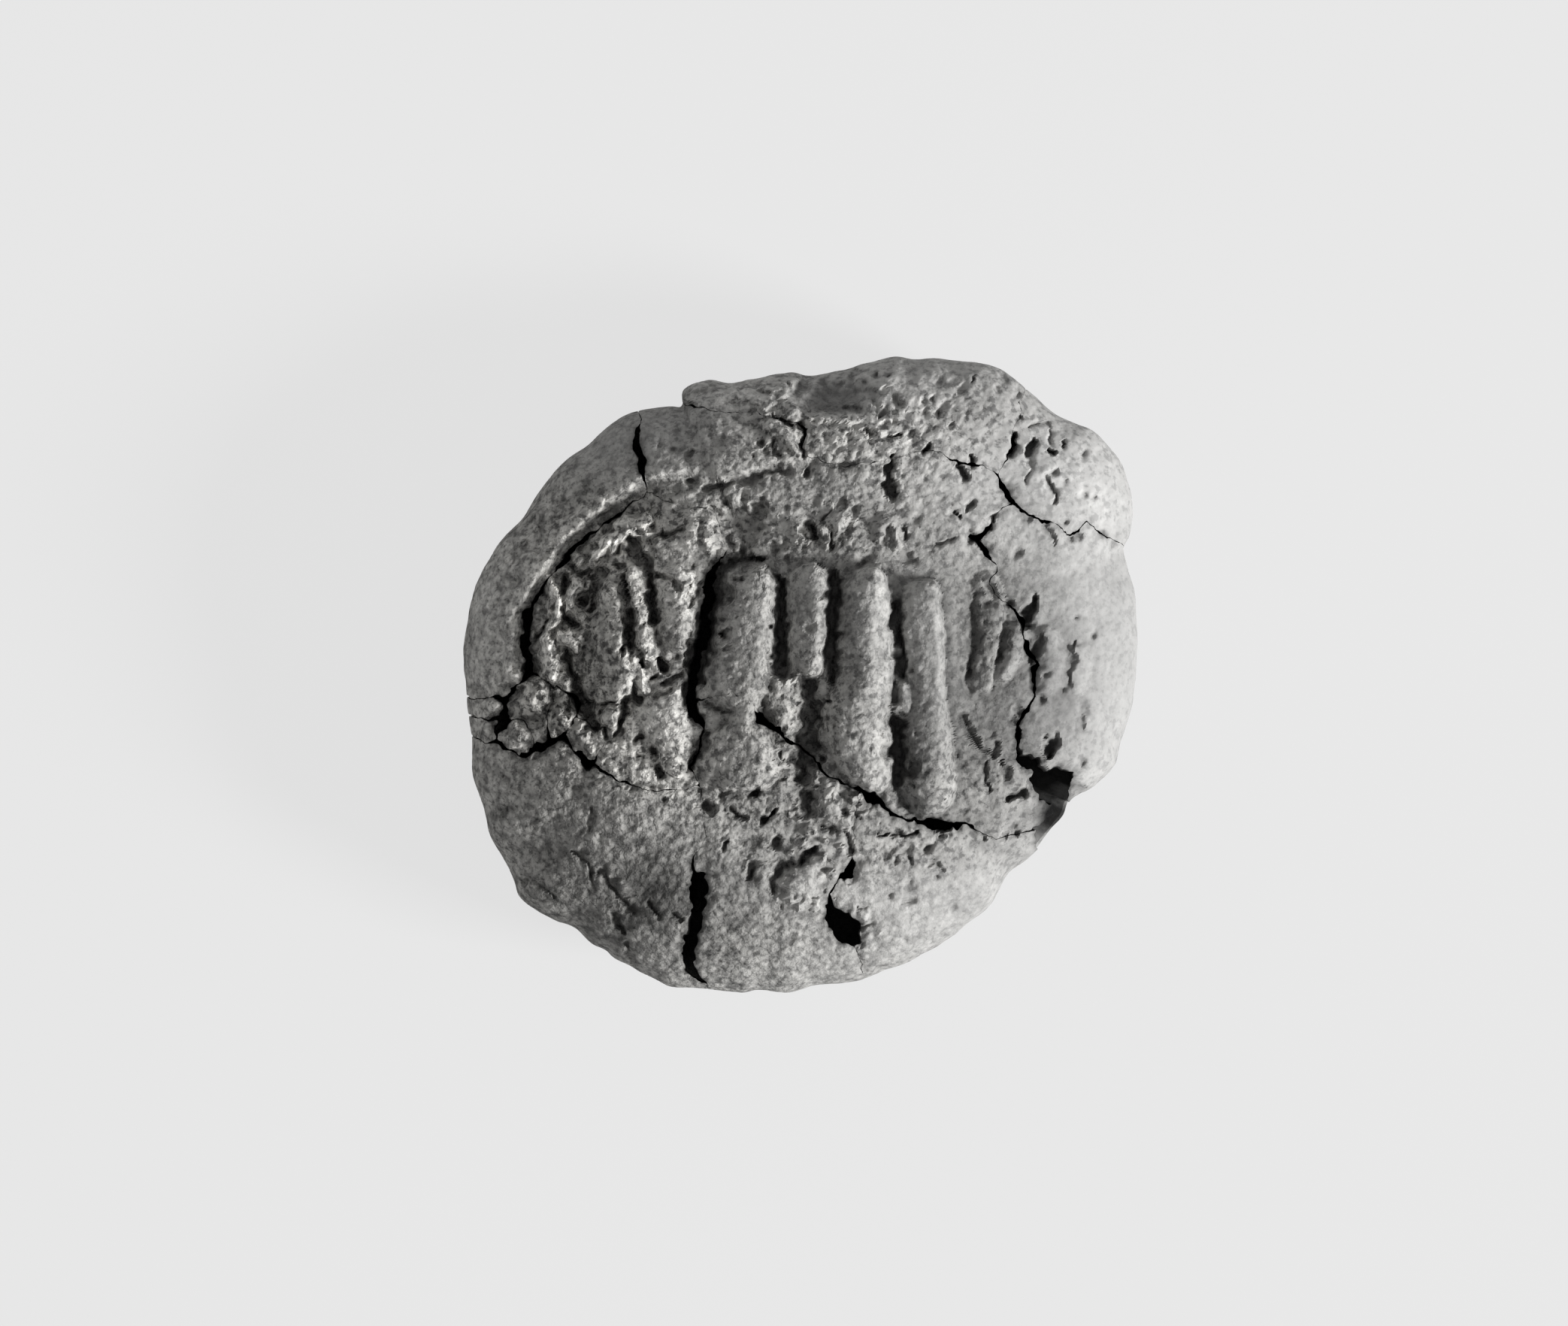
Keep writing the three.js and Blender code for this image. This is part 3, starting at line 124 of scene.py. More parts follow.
# The outline of the face, anticlockwise from the right
outline_shares = [
    (1, 0.12), (0.994, 0.249), (0.972, 0.331), (0.956, 0.39), (0.972, 0.44), (0.977, 0.534),
    (0.968, 0.596), (0.941, 0.673), (0.903, 0.725), (0.858, 0.765), (0.805, 0.789),
    (0.754, 0.817), (0.696, 0.867), (0.649, 0.914), (0.591, 0.956), (0.535, 0.978),
    (0.457, 0.987), (0.386, 0.998), (0.33, 0.992), (0.281, 1), (0.207, 0.982), (0.116, 0.954),
    (0.016, 0.94), (-0.045, 0.95), (-0.152, 0.928), (-0.212, 0.914), (-0.279, 0.919),
    (-0.348, 0.886), (-0.356, 0.836), (-0.392, 0.834), (-0.479, 0.822), (-0.511, 0.8125),
    (-0.562, 0.784), (-0.606, 0.746), (-0.644, 0.711), (-0.698, 0.678), (-0.749, 0.622),
    (-0.798, 0.548), (-0.834, 0.485), (-0.885, 0.428), (-0.925, 0.364), (-0.957, 0.296),
    (-0.977, 0.211), (-0.994, 0.119), (-1, 0.041), (-0.99, -0.088), (-0.981, -0.185),
    (-0.972, -0.324), (-0.943, -0.416), (-0.93, -0.499), (-0.899, -0.56), (-0.858, -0.633),
    (-0.834, -0.699), (-0.78, -0.749), (-0.725, -0.782), (-0.671, -0.805), (-0.624, -0.85),
    (-0.58, -0.869), (-0.553, -0.897), (-0.493, -0.93), (-0.426, -0.966), (-0.379, -0.985),
    (-0.303, -0.989), (-0.178, -0.998), (-0.12, -0.987), (-0.029, -0.998), (0.04, -0.98),
    (0.154, -0.97), (0.259, -0.93), (0.343, -0.893), (0.43, -0.836), (0.482, -0.791),
    (0.553, -0.735), (0.582, -0.69), (0.618, -0.624), (0.671, -0.579), (0.709, -0.541),
    (0.749, -0.485), (0.776, -0.449), (0.8, -0.397), (0.867, -0.355), (0.928, -0.291),
    (0.95, -0.209), (0.981, -0.112), (0.994, -0.015),
]

# Cracks: places along each, and its width there in millimetres. A crack narrower than a hair
# stays shut, and a wide one opens fully.
hair_width = 0.06
open_width = 0.24
crack_shares = {
    "upper_left": [
        (-0.58, 1, 0.1), (-0.485, 0.82, 0.12), (-0.477, 0.785, 0.14), (-0.49, 0.735, 0.24),
        (-0.487, 0.695, 0.3), (-0.472, 0.66, 0.32), (-0.465, 0.62, 0.22), (-0.455, 0.575, 0.12),
    ],
    "border": [
        (-0.455, 0.575, 0.12), (-0.475, 0.548, 0.12), (-0.515, 0.53, 0.13), (-0.54, 0.502, 0.2),
        (-0.6, 0.457, 0.14), (-0.645, 0.42, 0.18), (-0.69, 0.37, 0.24), (-0.74, 0.318, 0.1),
        (-0.782, 0.25, 0.22), (-0.803, 0.18, 0.3), (-0.812, 0.1, 0.3), (-0.8, 0.005, 0.28),
    ],
    "rim_foot": [
        (-0.8, 0.005, 0.4), (-0.84, -0.03, 0.14), (-0.88, -0.085, 0.3), (-0.92, -0.072, 0.12),
        (-0.955, -0.085, 0.12), (-1, -0.07, 0.14), (-1.12, -0.07, 0.14),
    ],
    "left": [
        (-1.12, -0.2, 0.13), (-0.985, -0.198, 0.13), (-0.94, -0.22, 0.14),
        (-0.905, -0.215, 0.18), (-0.88, -0.245, 0.15), (-0.84, -0.257, 0.14),
        (-0.795, -0.245, 0.24), (-0.75, -0.222, 0.4), (-0.71, -0.205, 0.2),
        (-0.68, -0.232, 0.14), (-0.65, -0.25, 0.18), (-0.625, -0.28, 0.36), (-0.595, -0.3, 0.2),
        (-0.56, -0.32, 0.15), (-0.5, -0.35, 0.12), (-0.42, -0.365, 0.12), (-0.35, -0.36, 0.1),
        (-0.305, -0.345, 0.1),
    ],
    "crumb_level": [
        (-1.12, -0.135, 0.14), (-0.97, -0.135, 0.14), (-0.93, -0.145, 0.14),
        (-0.885, -0.145, 0.3),
    ],
    "crumb_upright": [
        (-0.88, -0.085, 0.18), (-0.876, -0.115, 0.24), (-0.885, -0.145, 0.28),
        (-0.89, -0.17, 0.22), (-0.905, -0.192, 0.16), (-0.905, -0.215, 0.16),
    ],
    "crumb_arch": [
        (-0.89, -0.17, 0.3), (-0.86, -0.148, 0.12), (-0.828, -0.16, 0.12), (-0.803, -0.19, 0.11),
        (-0.795, -0.245, 0.12),
    ],
    "crumb_divide": [
        (-0.8, 0.005, 0.3), (-0.768, -0.014, 0.12), (-0.735, -0.035, 0.11),
        (-0.735, -0.075, 0.11), (-0.752, -0.12, 0.11), (-0.76, -0.17, 0.11),
        (-0.75, -0.222, 0.3),
    ],
    "crumb_hook": [
        (-0.735, -0.035, 0.11), (-0.705, -0.05, 0.11), (-0.675, -0.06, 0.2),
        (-0.66, -0.095, 0.2), (-0.665, -0.13, 0.12), (-0.69, -0.175, 0.11),
        (-0.71, -0.205, 0.16),
    ],
    "crumb_edge": [
        (-0.665, -0.13, 0.12), (-0.635, -0.148, 0.12), (-0.604, -0.172, 0.11),
        (-0.585, -0.207, 0.11), (-0.6, -0.25, 0.11), (-0.625, -0.28, 0.3),
    ],
    "field_edge": [
        (-0.455, 0.575, 0.1), (-0.41, 0.537, 0.1), (-0.35, 0.52, 0.1), (-0.3, 0.52, 0.1),
        (-0.258, 0.5, 0.1), (-0.242, 0.445, 0.1), (-0.225, 0.39, 0.1), (-0.25, 0.347, 0.14),
        (-0.266, 0.3, 0.24), (-0.271, 0.22, 0.34), (-0.281, 0.13, 0.32), (-0.305, 0.05, 0.36),
        (-0.32, -0.02, 0.3), (-0.322, -0.08, 0.3), (-0.315, -0.12, 0.4), (-0.285, -0.17, 0.16),
        (-0.31, -0.25, 0.16), (-0.33, -0.29, 0.14), (-0.305, -0.345, 0.1),
    ],
    "lower": [
        (-0.305, -0.345, 0.1), (-0.294, -0.4, 0.1), (-0.288, -0.45, 0.1), (-0.285, -0.51, 0.1),
        (-0.306, -0.55, 0.1), (-0.322, -0.595, 0.16), (-0.304, -0.65, 0.66),
        (-0.302, -0.72, 0.62), (-0.315, -0.79, 0.5), (-0.325, -0.85, 0.4), (-0.334, -0.9, 0.4),
        (-0.316, -0.942, 0.24), (-0.287, -0.97, 0.12), (-0.27, -1.12, 0.12),
    ],
    "middle": [
        (-0.32, -0.08, 0.24), (-0.285, -0.09, 0.11), (-0.25, -0.08, 0.11), (-0.21, -0.07, 0.11),
        (-0.17, -0.085, 0.1), (-0.142, -0.115, 0.1), (-0.125, -0.15, 0.26), (-0.06, -0.185, 0.2),
        (-0.042, -0.21, 0.16), (-0.005, -0.228, 0.15), (0.03, -0.265, 0.16),
        (0.08, -0.322, 0.16), (0.12, -0.35, 0.14), (0.165, -0.365, 0.18), (0.2, -0.385, 0.36),
        (0.255, -0.435, 0.2), (0.3, -0.447, 0.14), (0.37, -0.462, 0.26), (0.42, -0.475, 0.3),
        (0.485, -0.467, 0.18), (0.525, -0.492, 0.11), (0.58, -0.505, 0.11), (0.64, -0.496, 0.14),
        (0.68, -0.49, 0.14), (0.725, -0.47, 0.26),
    ],
    "lower_right": [
        (0.165, -0.365, 0.1), (0.158, -0.43, 0.1), (0.15, -0.49, 0.1), (0.16, -0.53, 0.1),
        (0.15, -0.575, 0.1), (0.147, -0.6, 0.32), (0.136, -0.63, 0.34), (0.1, -0.652, 0.14),
        (0.083, -0.695, 0.14), (0.082, -0.74, 0.3), (0.11, -0.8, 0.4), (0.155, -0.86, 0.1),
        (0.178, -0.905, 0.1), (0.19, -0.945, 0.1), (0.21, -1.12, 0.11),
    ],
    "top": [
        (-0.42, 0.97, 0.14), (-0.36, 0.845, 0.14), (-0.25, 0.828, 0.11), (-0.16, 0.82, 0.1),
        (-0.1, 0.802, 0.1), (-0.045, 0.79, 0.1), (0, 0.778, 0.12), (0.015, 0.755, 0.16),
        (0.008, 0.71, 0.13), (0.018, 0.675, 0.11), (0.07, 0.656, 0.1), (0.13, 0.65, 0.1),
        (0.2, 0.655, 0.1), (0.262, 0.67, 0.1), (0.31, 0.69, 0.1), (0.36, 0.703, 0.12),
        (0.41, 0.69, 0.1), (0.46, 0.662, 0.18), (0.51, 0.66, 0.12), (0.577, 0.628, 0.1),
    ],
    "upper_right": [
        (0.75, 1, 0.1), (0.668, 0.89, 0.1), (0.65, 0.855, 0.1), (0.66, 0.825, 0.1),
        (0.648, 0.795, 0.1), (0.628, 0.762, 0.11), (0.633, 0.72, 0.2), (0.617, 0.685, 0.14),
        (0.597, 0.656, 0.1), (0.577, 0.628, 0.1),
    ],
    "right": [
        (0.577, 0.628, 0.12), (0.592, 0.6, 0.18), (0.608, 0.575, 0.2), (0.622, 0.545, 0.19),
        (0.648, 0.518, 0.16), (0.69, 0.492, 0.13), (0.715, 0.472, 0.18), (0.75, 0.472, 0.11),
        (0.797, 0.437, 0.15), (0.82, 0.45, 0.11), (0.842, 0.482, 0.15), (0.867, 0.458, 0.13),
        (0.9, 0.432, 0.12), (0.965, 0.395, 0.1), (1.12, 0.35, 0.1),
    ],
    "cord": [
        (0.632, 0.53, 0.1), (0.598, 0.523, 0.1), (0.568, 0.503, 0.1), (0.56, 0.468, 0.14),
        (0.515, 0.435, 0.28), (0.545, 0.39, 0.2), (0.576, 0.352, 0.1), (0.558, 0.3, 0.13),
        (0.58, 0.252, 0.11), (0.615, 0.215, 0.13), (0.648, 0.172, 0.22), (0.662, 0.12, 0.15),
        (0.67, 0.075, 0.2), (0.694, 0.03, 0.24), (0.687, -0.035, 0.18), (0.687, -0.08, 0.13),
        (0.665, -0.125, 0.18), (0.64, -0.17, 0.2), (0.635, -0.225, 0.18), (0.643, -0.262, 0.42),
        (0.69, -0.29, 0.5), (0.735, -0.345, 0.6),
    ],
    "cord_mouth": [
        (0.735, -0.345, 0.6), (0.767, -0.405, 0.55), (0.757, -0.44, 0.5), (0.73, -0.472, 0.6),
        (0.71, -0.505, 0.5), (0.712, -0.56, 0.16), (0.8, -0.7, 0.14),
    ],
}

# Holes where the clay has dropped out from the face down to the back body
hole_shares = {
    "cord_hole": [
        (0.668, -0.325), (0.69, -0.298), (0.74, -0.295), (0.806, -0.304), (0.8, -0.338),
        (0.787, -0.365), (0.792, -0.4), (0.775, -0.432), (0.755, -0.442), (0.745, -0.41),
        (0.748, -0.386), (0.7, -0.386), (0.678, -0.36),
    ],
    "lower_hole": [
        (0.066, -0.735), (0.1, -0.744), (0.14, -0.757), (0.166, -0.79), (0.178, -0.845),
        (0.155, -0.862), (0.12, -0.852), (0.085, -0.822), (0.066, -0.785),
    ],
}

# Upright bars of the impression: the rise as a share of the tallest, then rows from the top
# down, each with its place up the face, its left edge, its crest and its right edge
bar_rise = 0.95
bar_end_fade = 0.3
slope_fall_share, slope_bend, slope_brink = 0.72, 1.5, 5
flank_fall_share, flank_bend, flank_brink = 0.62, 1.8, 6
bar_shares = {
    "wide_bar": (1, [
        (0.362, -0.17, -0.16, -0.15), (0.35, -0.198, -0.152, -0.12),
        (0.33, -0.22, -0.138, -0.094), (0.3, -0.237, -0.128, -0.076),
        (0.22, -0.245, -0.12, -0.07), (0.1, -0.265, -0.13, -0.083), (0, -0.29, -0.135, -0.09),
        (-0.05, -0.285, -0.15, -0.1), (-0.08, -0.26, -0.155, -0.112),
        (-0.12, -0.23, -0.155, -0.118), (-0.16, -0.215, -0.155, -0.11),
        (-0.19, -0.21, -0.155, -0.1),
    ]),
    "wide_boss": (0.9, [
        (-0.12, -0.19, -0.155, -0.12), (-0.16, -0.22, -0.155, -0.1),
        (-0.19, -0.27, -0.14, -0.085), (-0.22, -0.31, -0.13, -0.06),
        (-0.27, -0.32, -0.125, -0.05), (-0.32, -0.3, -0.135, -0.065),
        (-0.36, -0.25, -0.155, -0.105), (-0.38, -0.2, -0.17, -0.15),
    ]),
    "short_bar": (0.9, [
        (0.35, 0.012, 0.025, 0.035), (0.335, -0.015, 0.033, 0.06), (0.305, -0.036, 0.042, 0.08),
        (0.27, -0.045, 0.045, 0.09), (0.2, -0.045, 0.044, 0.086), (0.13, -0.045, 0.04, 0.078),
        (0.05, -0.045, 0.037, 0.07), (0.01, -0.03, 0.03, 0.06), (-0.02, 0.005, 0.02, 0.035),
    ]),
    "long_bar": (1, [
        (0.345, 0.195, 0.205, 0.215), (0.33, 0.17, 0.21, 0.235), (0.3, 0.142, 0.212, 0.256),
        (0.26, 0.12, 0.21, 0.265), (0.2, 0.11, 0.208, 0.268), (0.1, 0.108, 0.2, 0.275),
        (0, 0.11, 0.2, 0.272), (-0.1, 0.065, 0.185, 0.258), (-0.2, 0.065, 0.185, 0.262),
        (-0.3, 0.1, 0.195, 0.272), (-0.34, 0.14, 0.2, 0.255), (-0.37, 0.17, 0.2, 0.235),
        (-0.39, 0.19, 0.2, 0.21),
    ]),
    "ridge_bar": (0.95, [
        (0.3, 0.355, 0.375, 0.39), (0.285, 0.325, 0.385, 0.408), (0.25, 0.295, 0.393, 0.42),
        (0.15, 0.29, 0.396, 0.422), (0, 0.305, 0.396, 0.422), (-0.1, 0.31, 0.397, 0.427),
        (-0.15, 0.3, 0.4, 0.437), (-0.25, 0.29, 0.405, 0.452), (-0.35, 0.285, 0.4, 0.462),
        (-0.4, 0.3, 0.39, 0.45), (-0.43, 0.33, 0.385, 0.425), (-0.45, 0.36, 0.38, 0.4),
    ]),
    "low_bar": (0.45, [
        (0.33, 0.53, 0.555, 0.575), (0.25, 0.507, 0.583, 0.605), (0.12, 0.507, 0.57, 0.6),
        (0.02, 0.495, 0.565, 0.592), (-0.03, 0.49, 0.545, 0.575), (-0.07, 0.505, 0.525, 0.545),
    ]),
    "right_bar": (0.52, [
        (0.17, 0.605, 0.63, 0.652), (0.12, 0.585, 0.638, 0.675), (0.06, 0.575, 0.628, 0.67),
        (0, 0.565, 0.6, 0.64), (-0.04, 0.56, 0.575, 0.6),
    ]),
    "far_bar": (0.4, [
        (0.16, 0.708, 0.725, 0.745), (0.1, 0.698, 0.735, 0.78), (0.04, 0.685, 0.742, 0.79),
        (-0.04, 0.69, 0.738, 0.785), (-0.08, 0.69, 0.71, 0.74),
    ]),
    "outer_bar": (0.26, [
        (0.1, 0.795, 0.812, 0.835), (0.04, 0.785, 0.818, 0.86), (-0.03, 0.775, 0.808, 0.855),
        (-0.08, 0.775, 0.79, 0.82),
    ]),
    "left_column": (0.58, [
        (0.3, -0.59, -0.57, -0.545), (0.27, -0.605, -0.553, -0.525),
        (0.2, -0.612, -0.543, -0.508), (0.12, -0.612, -0.537, -0.503),
        (0.05, -0.61, -0.525, -0.49), (0, -0.605, -0.515, -0.48),
        (-0.05, -0.595, -0.525, -0.495), (-0.08, -0.58, -0.54, -0.51),
        (-0.1, -0.56, -0.545, -0.53),
    ]),
    "left_ridge": (0.6, [
        (0.348, -0.503, -0.495, -0.475), (0.33, -0.51, -0.5, -0.457),
        (0.28, -0.508, -0.497, -0.447), (0.22, -0.496, -0.485, -0.437),
        (0.15, -0.485, -0.474, -0.428), (0.08, -0.476, -0.464, -0.42),
        (0.04, -0.466, -0.455, -0.43),
    ]),
    "left_lobe": (0.6, [
        (0.34, -0.4, -0.37, -0.34), (0.3, -0.425, -0.358, -0.312), (0.22, -0.43, -0.352, -0.303),
        (0.14, -0.42, -0.35, -0.305), (0.09, -0.4, -0.355, -0.325),
        (0.06, -0.385, -0.365, -0.345),
    ]),
    "left_mound": (0.42, [
        (-0.03, -0.4, -0.37, -0.345), (-0.07, -0.46, -0.385, -0.338),
        (-0.13, -0.475, -0.39, -0.325), (-0.19, -0.46, -0.385, -0.325),
        (-0.27, -0.43, -0.375, -0.335), (-0.33, -0.4, -0.375, -0.35),
    ]),
}

# Small raised strokes: the rise as a share of the tallest bar's, then places along the line,
# each with the half width there as a share of the face's
raised_fullness = 2.2
raised_roundness = 0.85
raised_shares = {
    "crumbled_lump": (0.36, [
        (-0.07, -0.03, 0.045), (-0.058, -0.1, 0.048), (-0.05, -0.16, 0.028),
    ]),
    "side_lump": (0.45, [(0.3, -0.04, 0.028), (0.3, -0.1, 0.027)]),
    "side_bump": (0.6, [(0.285, 0.07, 0.016)]),
    "middle_boss": (0.55, [(0.085, -0.425, 0.068)]),
    "middle_ridge": (0.4, [(0.03, -0.31, 0.022), (0.035, -0.35, 0.02)]),
    "thin_ridge": (0.35, [(0.072, -0.345, 0.012), (0.077, -0.375, 0.012)]),
    "lower_boss": (0.5, [(-0.025, -0.655, 0.062), (0.02, -0.635, 0.064)]),
    "smooth_slope": (0.28, [(-0.1, -0.62, 0.04)]),
    "upper_lump": (0.22, [(0.18, -0.772, 0.026)]),
    "under_lump": (0.14, [(0.195, -0.838, 0.026)]),
    "short_arc": (0.35, [(0.055, 0.44, 0.014), (0.075, 0.41, 0.014)]),
    "long_arc": (0.3, [(-0.02, 0.45, 0.012), (-0.005, 0.42, 0.014), (0.02, 0.4, 0.012)]),
    "field_boss": (0.3, [(0.1, 0.46, 0.036)]),
    "field_arc": (0.28, [
        (0.225, 0.42, 0.014), (0.23, 0.46, 0.016), (0.26, 0.487, 0.016), (0.283, 0.455, 0.016),
        (0.29, 0.41, 0.014),
    ]),
    "smooth_patch": (0.34, [(-0.268, 0.44, 0.042), (-0.25, 0.385, 0.034)]),
    "top_wedge": (0.3, [(-0.085, 0.775, 0.022), (-0.03, 0.73, 0.028), (-0.012, 0.69, 0.014)]),
    "top_lip": (0.24, [(-0.2, 0.882, 0.016), (-0.14, 0.862, 0.02), (-0.09, 0.85, 0.018)]),
    "left_ledge": (0.22, [(-0.52, -0.665, 0.032)]),
    "border_ridge": (0.62, [
        (-0.61, 0.345, 0.022), (-0.6, 0.375, 0.03), (-0.57, 0.405, 0.035), (-0.54, 0.435, 0.032),
        (-0.5, 0.46, 0.032), (-0.45, 0.48, 0.024),
    ]),
    "ridge_lump": (0.6, [(-0.65, 0.352, 0.029)]),
    "left_line": (0.75, [
        (-0.74, 0.3, 0.013), (-0.725, 0.265, 0.016), (-0.715, 0.225, 0.018),
        (-0.72, 0.185, 0.019), (-0.738, 0.15, 0.022), (-0.748, 0.1, 0.03), (-0.745, 0.04, 0.027),
        (-0.738, -0.005, 0.022),
    ]),
    "ring_lump": (0.62, [(-0.665, 0.275, 0.023), (-0.685, 0.235, 0.026), (-0.68, 0.2, 0.021)]),
    "ring_side": (0.3, [(-0.63, 0.27, 0.014), (-0.62, 0.245, 0.012)]),
    "left_lump": (0.68, [(-0.705, 0.125, 0.026), (-0.685, 0.115, 0.031), (-0.665, 0.085, 0.024)]),
    "lump_above": (0.45, [(-0.64, 0.185, 0.022)]),
    "lump_below": (0.55, [(-0.725, -0.02, 0.024), (-0.69, -0.03, 0.026)]),
    "hanging_lump": (0.6, [(-0.565, -0.13, 0.033), (-0.56, -0.15, 0.029)]),
    "bridge": (0.35, [(-0.49, 0.06, 0.02), (-0.47, 0, 0.026), (-0.455, -0.05, 0.02)]),
    "rim_lip": (0.26, [
        (-0.84, 0, 0.03), (-0.846, 0.1, 0.05), (-0.834, 0.2, 0.056), (-0.808, 0.255, 0.058),
        (-0.78, 0.305, 0.06), (-0.744, 0.355, 0.06), (-0.714, 0.405, 0.058),
        (-0.662, 0.46, 0.05), (-0.612, 0.515, 0.034),
    ]),
    "lip_streak": (0.2, [(-0.13, 0.905, 0.014), (-0.05, 0.88, 0.016)]),
    "hollow_ring": (0.28, [(-0.02, 0.83, 0.03)]),
    "hollow_lip": (0.2, [(0.03, 0.8, 0.018), (0.1, 0.795, 0.02), (0.17, 0.8, 0.016)]),
    "crumb_top": (0.36, [(-0.8, -0.045, 0.052), (-0.785, -0.09, 0.05)]),
    "crumb_side": (0.36, [(-0.715, -0.125, 0.05)]),
    "crumb_low": (0.32, [(-0.84, -0.2, 0.045)]),
    "crumb_outer": (0.26, [(-0.93, -0.1, 0.038)]),
    "crumb_foot": (0.24, [(-0.94, -0.175, 0.032)]),
    "crumb_end": (0.32, [(-0.65, -0.185, 0.045)]),
}

